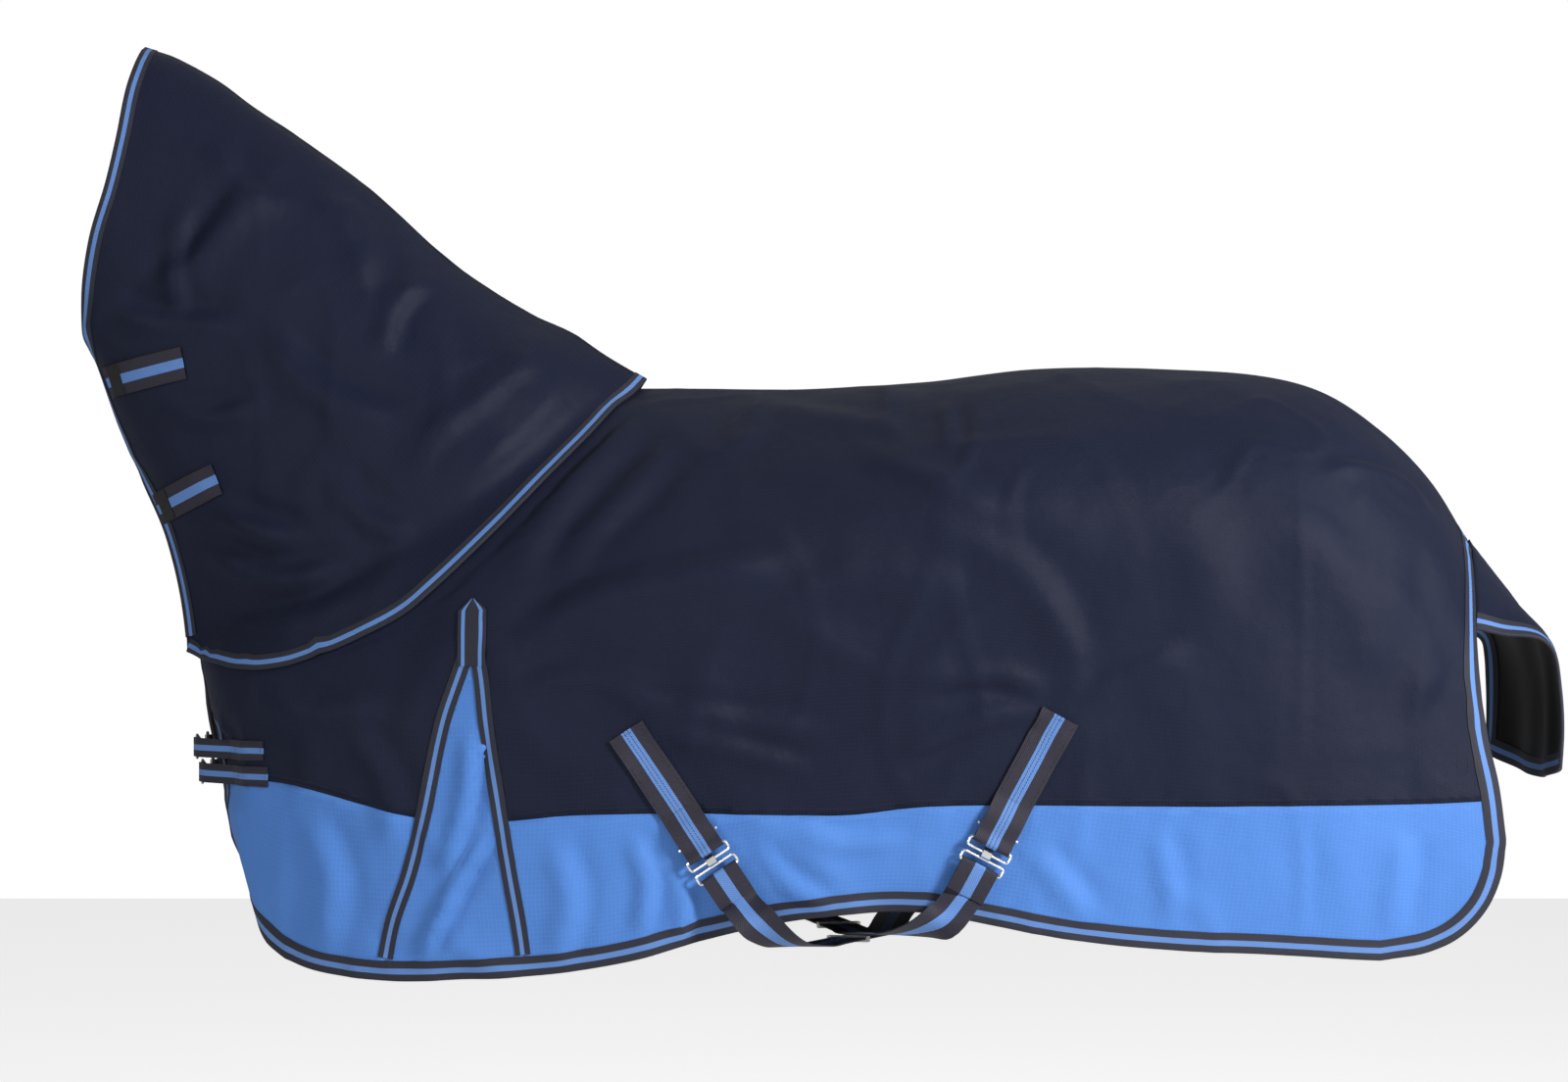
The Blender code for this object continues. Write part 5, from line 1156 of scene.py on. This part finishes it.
def folded(length, low):
    """(e, h) points of a webbing that runs on top, round its bar and back, e from its sewn end."""
    radius = WIRE / 2 + PLAY + WEBBING_THICK / 2
    bar_e, bar_h = length - BAR_REACH, low + BAR_REACH
    top, under = low + 1.5 * WEBBING_THICK, low + WEBBING_THICK / 2
    e = np.linspace(0, bar_e - 0.014, 40)
    line = [(k, top) for k in e]
    for k in np.linspace(0, 1, 6)[1:-1]:
        line.append((bar_e - 0.014 + 0.014 * k, top + (bar_h + radius - top) * float(ease(k))))
    for k in np.linspace(0, math.pi, 9):
        line.append((bar_e + radius * math.sin(k), bar_h + radius * math.cos(k)))
    line += [(k, under) for k in e[::-1] if k < bar_e - 0.004]
    return np.array(line)


def sewn_tab(name, skin, ends, width, lift, ramp, fitting, look, nodes, box):
    """Webbing sewn down at its first end, doubled and folded round a fitting's bar at its other."""
    (x0, z0), (x1, z1) = ends
    count = 24
    path = np.array([skin.locate(x0 + (x1 - x0) * k / count, z0 + (z1 - z0) * k / count)
                     for k in range(count + 1)])
    places = skin.near_place(path[:, 0], path[:, 1])
    along = np.concatenate([[0.0], np.cumsum(np.linalg.norm(np.diff(places, axis=0), axis=1))])
    length = along[-1]
    line = folded(length, WEBBING_LOW)
    e, h = line[:, 0], line[:, 1]
    share = ease((e - length + ramp[0]) / (ramp[0] - ramp[1]))[:, None]
    columns = []
    for s in even(width / 2, 7):
        moved = skin.shifted(path, -s)
        u = np.interp(np.clip(e, 0, length), along, moved[:, 0])
        v = np.interp(np.clip(e, 0, length), along, moved[:, 1])
        on_cloth = skin.near_place(u, v, h)
        flat = fitting(e - length, np.full(len(e), s), h + lift)
        columns.append(on_cloth * (1 - share) + flat * share)
    middle = np.stack(columns, 1) * np.array([1, skin.side, 1])
    box_stitches(name, middle[:40], box)
    slab(name, middle, WEBBING_THICK, look, even(width / 2, 7), nodes=nodes)


def box_stitches(name, top, end):
    """A stitched box on the top leaf of a tab, from its sewn end to the share end of its length."""
    share = np.linspace(0, 1, len(top))
    up = np.cross(np.gradient(top, axis=1), np.gradient(top, axis=0))
    up = unit(up * signed_out(up, top))
    rows = np.nonzero((share > 0.02) & (share <= end))[0]
    lift = up * (WEBBING_THICK / 2 + 0.0001)
    grid = top + lift
    wide = top.shape[1]

    def line(part, places):
        rows_at, across_at = np.array(places).T
        low_r, low_c = np.floor(rows_at).astype(int), np.floor(across_at).astype(int)
        low_r, low_c = np.minimum(low_r, top.shape[0] - 2), np.minimum(low_c, wide - 2)
        a, b = (rows_at - low_r)[:, None], (across_at - low_c)[:, None]

        def read(table):
            return (table[low_r, low_c] * (1 - a) * (1 - b) + table[low_r + 1, low_c] * a * (1 - b)
                    + table[low_r, low_c + 1] * (1 - a) * b + table[low_r + 1, low_c + 1] * a * b)

        stitches(f"{name}_stitches_{part}", read(grid), read(up), 0.0036, 0.00038)

    first, last, inner, outer = rows[0], rows[-1], 0.5, wide - 1.5
    steps = np.linspace(0, 1, 14)
    for k, across_at in enumerate((inner, outer)):
        line(f"side_{k + 1}", [(first + (last - first) * step, across_at) for step in steps])
    for k, row_at in enumerate((first, last)):
        line(f"end_{k + 1}", [(row_at, inner + (outer - inner) * step) for step in steps])


def signed_out(up, top):
    """1 if up points away from the horse's middle line, else -1."""
    return 1.0 if (up[..., 1] * top[..., 1]).sum() > 0 else -1.0


def belly_strap(name, near, far):
    """Strap folded round the T hook's bar, under the belly and up to the far side's tab."""
    sizes = SURCINGLES[name]
    bar_h = WEBBING_LOW + ANCHOR_LIFT + BAR_REACH
    web_a = -BAR_REACH + PLATE_REACH + 0.008 + PLATE_REACH
    turn = WIRE / 2 + PLAY + WEBBING_THICK / 2
    turns = np.linspace(0, math.pi, 9)
    start = [(web_a + 0.040, bar_h + 0.0022), (web_a + 0.026, bar_h + turn * 0.85),
             (web_a + 0.014, bar_h + turn)]
    start += [(web_a - turn * math.sin(k), bar_h + turn * math.cos(k)) for k in turns]
    start += [(web_a + 0.014, bar_h - 0.0014), (web_a + 0.040, bar_h - 0.0006)]
    start = near.world(*np.array([(a, 0.0, h) for a, h in start]).T)
    end_h = WEBBING_LOW + ANCHOR_LIFT + (2 * WEBBING_THICK + WIRE + 2 * PLAY) / 2
    last = [far.world(0.060, 0, end_h - 0.003), far.world(0.016, 0, end_h)]
    run, over = sizes["near_run"], sizes["far_run"]
    middle = np.array(sizes["middle"])
    straight = [tuple(np.array(run[-1]) + (middle - np.array(run[-1])) * k) for k in (0.22, 0.78)]
    route = [tuple(start[-1][[0, 2, 1]]), *run, *straight, tuple(middle), *over]
    route += [tuple(p[[0, 2, 1]]) for p in last]
    curve = Curve(route)
    t = np.linspace(0, 1, 121)[1:]
    finish = far.world(*np.array([(0.010, 0, end_h), (0.0006, 0, end_h)]).T)
    path = np.concatenate([start, curve(t), finish])
    up_run = -np.stack([np.zeros(len(t)), (curve(np.minimum(t + 0.01, 1)) - curve(t - 0.01))[:, 2],
                        -(curve(np.minimum(t + 0.01, 1)) - curve(t - 0.01))[:, 1]], 1)
    angles = np.concatenate([[0.08, 0.04, 0.0], -turns, [-3.2, -3.14]])
    up_start = np.stack([near.along * math.sin(k) + near.out * math.cos(k) for k in angles])
    up_start = up_start * np.array([1, near.side, 1])
    up_end = np.repeat((-far.out * np.array([1, far.side, 1]))[None], 2, axis=0)
    ups = unit(np.concatenate([up_start, unit(up_run), up_end]))
    for _ in range(6):
        inner = ups[len(start):]
        inner[1:-1] = unit(inner[:-2] + 2 * inner[1:-1] + inner[2:])
    across = unit(np.cross(unit(np.gradient(path, axis=0)), ups))
    offsets = even(SURCINGLE_WIDTH / 2)
    slab(f"{name}_belly_strap_webbing", np.stack([path + across * s for s in offsets], 1), WEBBING_THICK,
         "surcingle", offsets, nodes=[f"{name}_belly_strap"])


def surcingle(name, bodies):
    """One belly strap with the sewn tab at each of its ends."""
    far_name = FAR_TAB_OF[name]
    near = plate_fitting(f"{name}_loop_plate", 1)
    sewn_tab(f"{name}_anchor_near_webbing", bodies["near"], SURCINGLES[name]["tab"], SURCINGLE_WIDTH,
             ANCHOR_LIFT, (0.070, 0.034), near, "sewn", [f"{name}_anchor_near"], 0.72)
    mirrored = plate_fitting(f"{far_name}_loop_plate", 1)
    far = Fitting(mirrored.origin, mirrored.along, mirrored.out, -1)
    sewn_tab(f"{name}_anchor_far_webbing", bodies["far"], SURCINGLES[far_name]["tab"], SURCINGLE_WIDTH,
             ANCHOR_LIFT, (0.070, 0.034), far, "sewn", [f"{name}_anchor_far"], 0.72)
    belly_strap(name, near, far)


def chest_closure(name, bodies):
    """The two webbing tabs of a chest fastening."""
    ring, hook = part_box(f"chest_{name}_ring"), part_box(f"chest_{name}_hook")
    bar_h = WEBBING_LOW + CHEST_LIFT + BAR_REACH
    level = CHEST_CLOSURES[name]
    out, along = np.array([-1.0, 0, 0]), np.array([0, 1.0, 0])
    ring_x = (ring[0][0] + ring[1][0]) / 2
    near = Fitting(np.array([ring_x + bar_h, ring[0][1] + WIRE / 2 + BAR_REACH, level]), along, out, 1)
    hook_x = hook[1][0] - WIRE / 2
    far = Fitting(np.array([hook_x + bar_h, -(hook[1][1] - WIRE / 2) + BAR_REACH, level]), along, out, -1)
    for side_name, fitting in (("near", near), ("far", far)):
        skin = bodies[side_name]
        row = np.argmin(np.abs(skin.points[0, :, 2] - level))
        edge = skin.points[0, row, 0]
        ends = ((edge + 0.072, level), (edge + 0.004, level))
        node = f"chest_{name}_strap_{side_name}"
        sewn_tab(f"{node}_webbing", skin, ends, CHEST_WIDTH, CHEST_LIFT, (0.055, 0.020), fitting, "chest",
                 [node], 0.5)


def neck_tab(name, neck):
    """A throat fastening: its sewn base and hook tape, and the tab that peels off."""
    x, z, length, rise = NECK_TABS[name]
    way = np.array([math.cos(math.radians(rise)), math.sin(math.radians(rise))])

    def path(start, end):
        steps = max(int((end - start) / 0.004), 4)
        places = [np.array([x, z]) + way * k for k in np.linspace(start, end, steps + 1)]
        return np.array([neck.locate(*place) for place in places])

    offsets = even(NECK_TAB_WIDTH / 2, 9)
    flat_tape(f"neck_tab_{name}_base_webbing", neck, path(0.004, 0.050), offsets,
              WEBBING_LOW + WEBBING_THICK / 2, WEBBING_THICK, "neck_tab", nodes=[f"neck_tab_{name}_base"])
    above = WEBBING_LOW + WEBBING_THICK * 1.5 + 0.0003
    flat_tape(f"neck_tab_{name}_webbing", neck, path(0.012, length), offsets, above, WEBBING_THICK,
              "neck_tab", f"{name}_neck_tab", [f"neck_tab_{name}"])
    flat_tape(f"neck_tab_{name}_hook_tape", neck, path(0.012, 0.028), even(NECK_TAB_WIDTH / 2 - 0.001, 9),
              above + WEBBING_THICK / 2 + 0.0006, 0.0009, "hooks", f"{name}_neck_tab")


def neck_join(neck):
    """The tape that holds the neck cover's rim to the rug at the withers."""
    u = np.linspace(1 - 0.42 / 7, 1 - 0.16 / 7, 6)
    columns = []
    for v in np.linspace(-0.25 / 7, 0.25 / 7, 7):
        columns.append(neck.near_place(u, np.full(6, v), UNDER_MID - 0.0012))
    slab("neck_join_tape_strip", np.stack(columns, 1), TRIM_THICK, "plain_tape", nodes=["neck_join_tape"])


def leg_ring_loop(side_name, body):
    """The loop of webbing inside the hind corner that holds the D ring."""
    x, z = LEG_RING
    length = 0.045
    line = folded(length, 0.0)
    path = np.array([body.locate(x, z + length * (1 - k / 12)) for k in range(13)])
    places = body.near_place(path[:, 0], path[:, 1])
    along = np.concatenate([[0.0], np.cumsum(np.linalg.norm(np.diff(places, axis=0), axis=1))])
    low = UNDER_MID + TRIM_THICK / 2
    share = ease((line[:, 0] - length + 0.030) / 0.014)[:, None, None]
    columns = []
    for s in even(LEG_TAB_WIDTH / 2, 5):
        moved = body.shifted(path, s)
        u = np.interp(line[:, 0], along, moved[:, 0])
        v = np.interp(line[:, 0], along, moved[:, 1])
        columns.append(body.near_place(u, v, low - line[:, 1]))
    middle = np.stack(columns, 1)
    middle = middle + np.array([0, 1, 0]) * share * LEG_LIFT
    slab(f"leg_ring_loop_{side_name}_webbing", middle * np.array([1, body.side, 1]), WEBBING_THICK,
         "plain_tape", nodes=[f"leg_ring_loop_{side_name}"])


def metal_fittings():
    for name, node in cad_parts.items():
        if any(part in name for part in ("loop_plate", "t_hook", "slider", "_ring", "_hook", "_gate")):
            if "loop_near" in name or "loop_far" in name:
                continue
            node.data.materials.clear()
            node.data.materials.append(LOOKS["metal"])


# Studio.

def camera():
    made = bpy.data.cameras.new("camera")
    made.sensor_width = 36.0
    made.lens = 95.2
    obj = bpy.data.objects.new("camera", made)
    obj.location = (0.104, -5.5, -0.200)
    obj.rotation_euler = (math.pi / 2, 0, 0)
    bpy.context.scene.collection.objects.link(obj)
    bpy.context.scene.camera = obj


def area_light(name, place, target, size, power, colour=(1, 1, 1)):
    light = bpy.data.lights.new(name, "AREA")
    light.shape, light.size, light.size_y = "RECTANGLE", *size
    light.energy, light.color = power, colour
    obj = bpy.data.objects.new(name, light)
    obj.location = place
    obj.rotation_euler = (Vector(target) - Vector(place)).to_track_quat("-Z", "Y").to_euler()
    bpy.context.scene.collection.objects.link(obj)


def studio():
    """A pale floor, a white surround and soft light."""
    bpy.context.scene.view_settings.view_transform = "Standard"
    world = bpy.data.worlds.new("world")
    bpy.context.scene.world = world
    world.use_nodes = True
    background = world.node_tree.nodes["Background"]
    background.inputs["Color"].default_value = (1, 1, 1, 1)
    seen = world.node_tree.nodes.new("ShaderNodeLightPath").outputs["Is Camera Ray"]
    world.node_tree.links.new(math_node(world.node_tree, "MULTIPLY_ADD", seen, 1 - SURROUND, SURROUND),
                              background.inputs["Strength"])
    floor = bpy.data.meshes.new("floor")
    reach, low = 9.0, -1.45
    corners = [(x * reach, y * reach, low) for x, y in ((-1, -1), (1, -1), (1, 1), (-1, 1))]
    floor.from_pydata(corners, [], [(0, 1, 2, 3)])
    made, tree, shader = nodes_of("floor")
    shader.inputs["Base Color"].default_value = (0.93, 0.93, 0.93, 1)
    shader.inputs["Roughness"].default_value = 0.8
    shader.inputs["Emission Color"].default_value = (1, 1, 1, 1)
    seen = tree.nodes.new("ShaderNodeLightPath").outputs["Is Camera Ray"]
    tree.links.new(math_node(tree, "MULTIPLY", seen, 0.6), shader.inputs["Emission Strength"])
    floor.materials.append(made)
    obj = bpy.data.objects.new("floor", floor)
    bpy.context.scene.collection.objects.link(obj)
    area_light("key", (3.1, -2.5, 1.2), (0.1, 0, -0.3), (0.9, 0.9), 205)
    area_light("fill", (-2.6, -3.2, 0.6), (-0.3, 0, -0.3), (1.4, 1.4), 46)
    area_light("top", (0.0, 1.2, 2.9), (0.1, 0, 0), (2.4, 1.0), 6)


def main():
    camera()
    bodies = {name: body_skin(name) for name in SIDES}
    tree = surface_tree(bodies.values())
    necks = {name: neck_skin(name, tree) for name in SIDES}
    for name in SIDES:
        body_cloth(name, bodies[name])
        neck_cloth(name, necks[name])
        leg_ring_loop(name, bodies[name])
    middle_tape("spine_seam_tape", bodies["near"], 1.3 / 15, 1 - 0.5 / 15)
    middle_tape("neck_crest_tape", necks["near"], 0.5 / 7, 1 - 0.5 / 7)
    neck_join(necks["near"])
    for name in SURCINGLES:
        surcingle(name, bodies)
    for name in CHEST_CLOSURES:
        chest_closure(name, bodies)
    for name in NECK_TABS:
        neck_tab(name, necks["near"])
    tail_flap_cloth(flap_skin(bodies["near"]))
    metal_fittings()
    studio()


main()
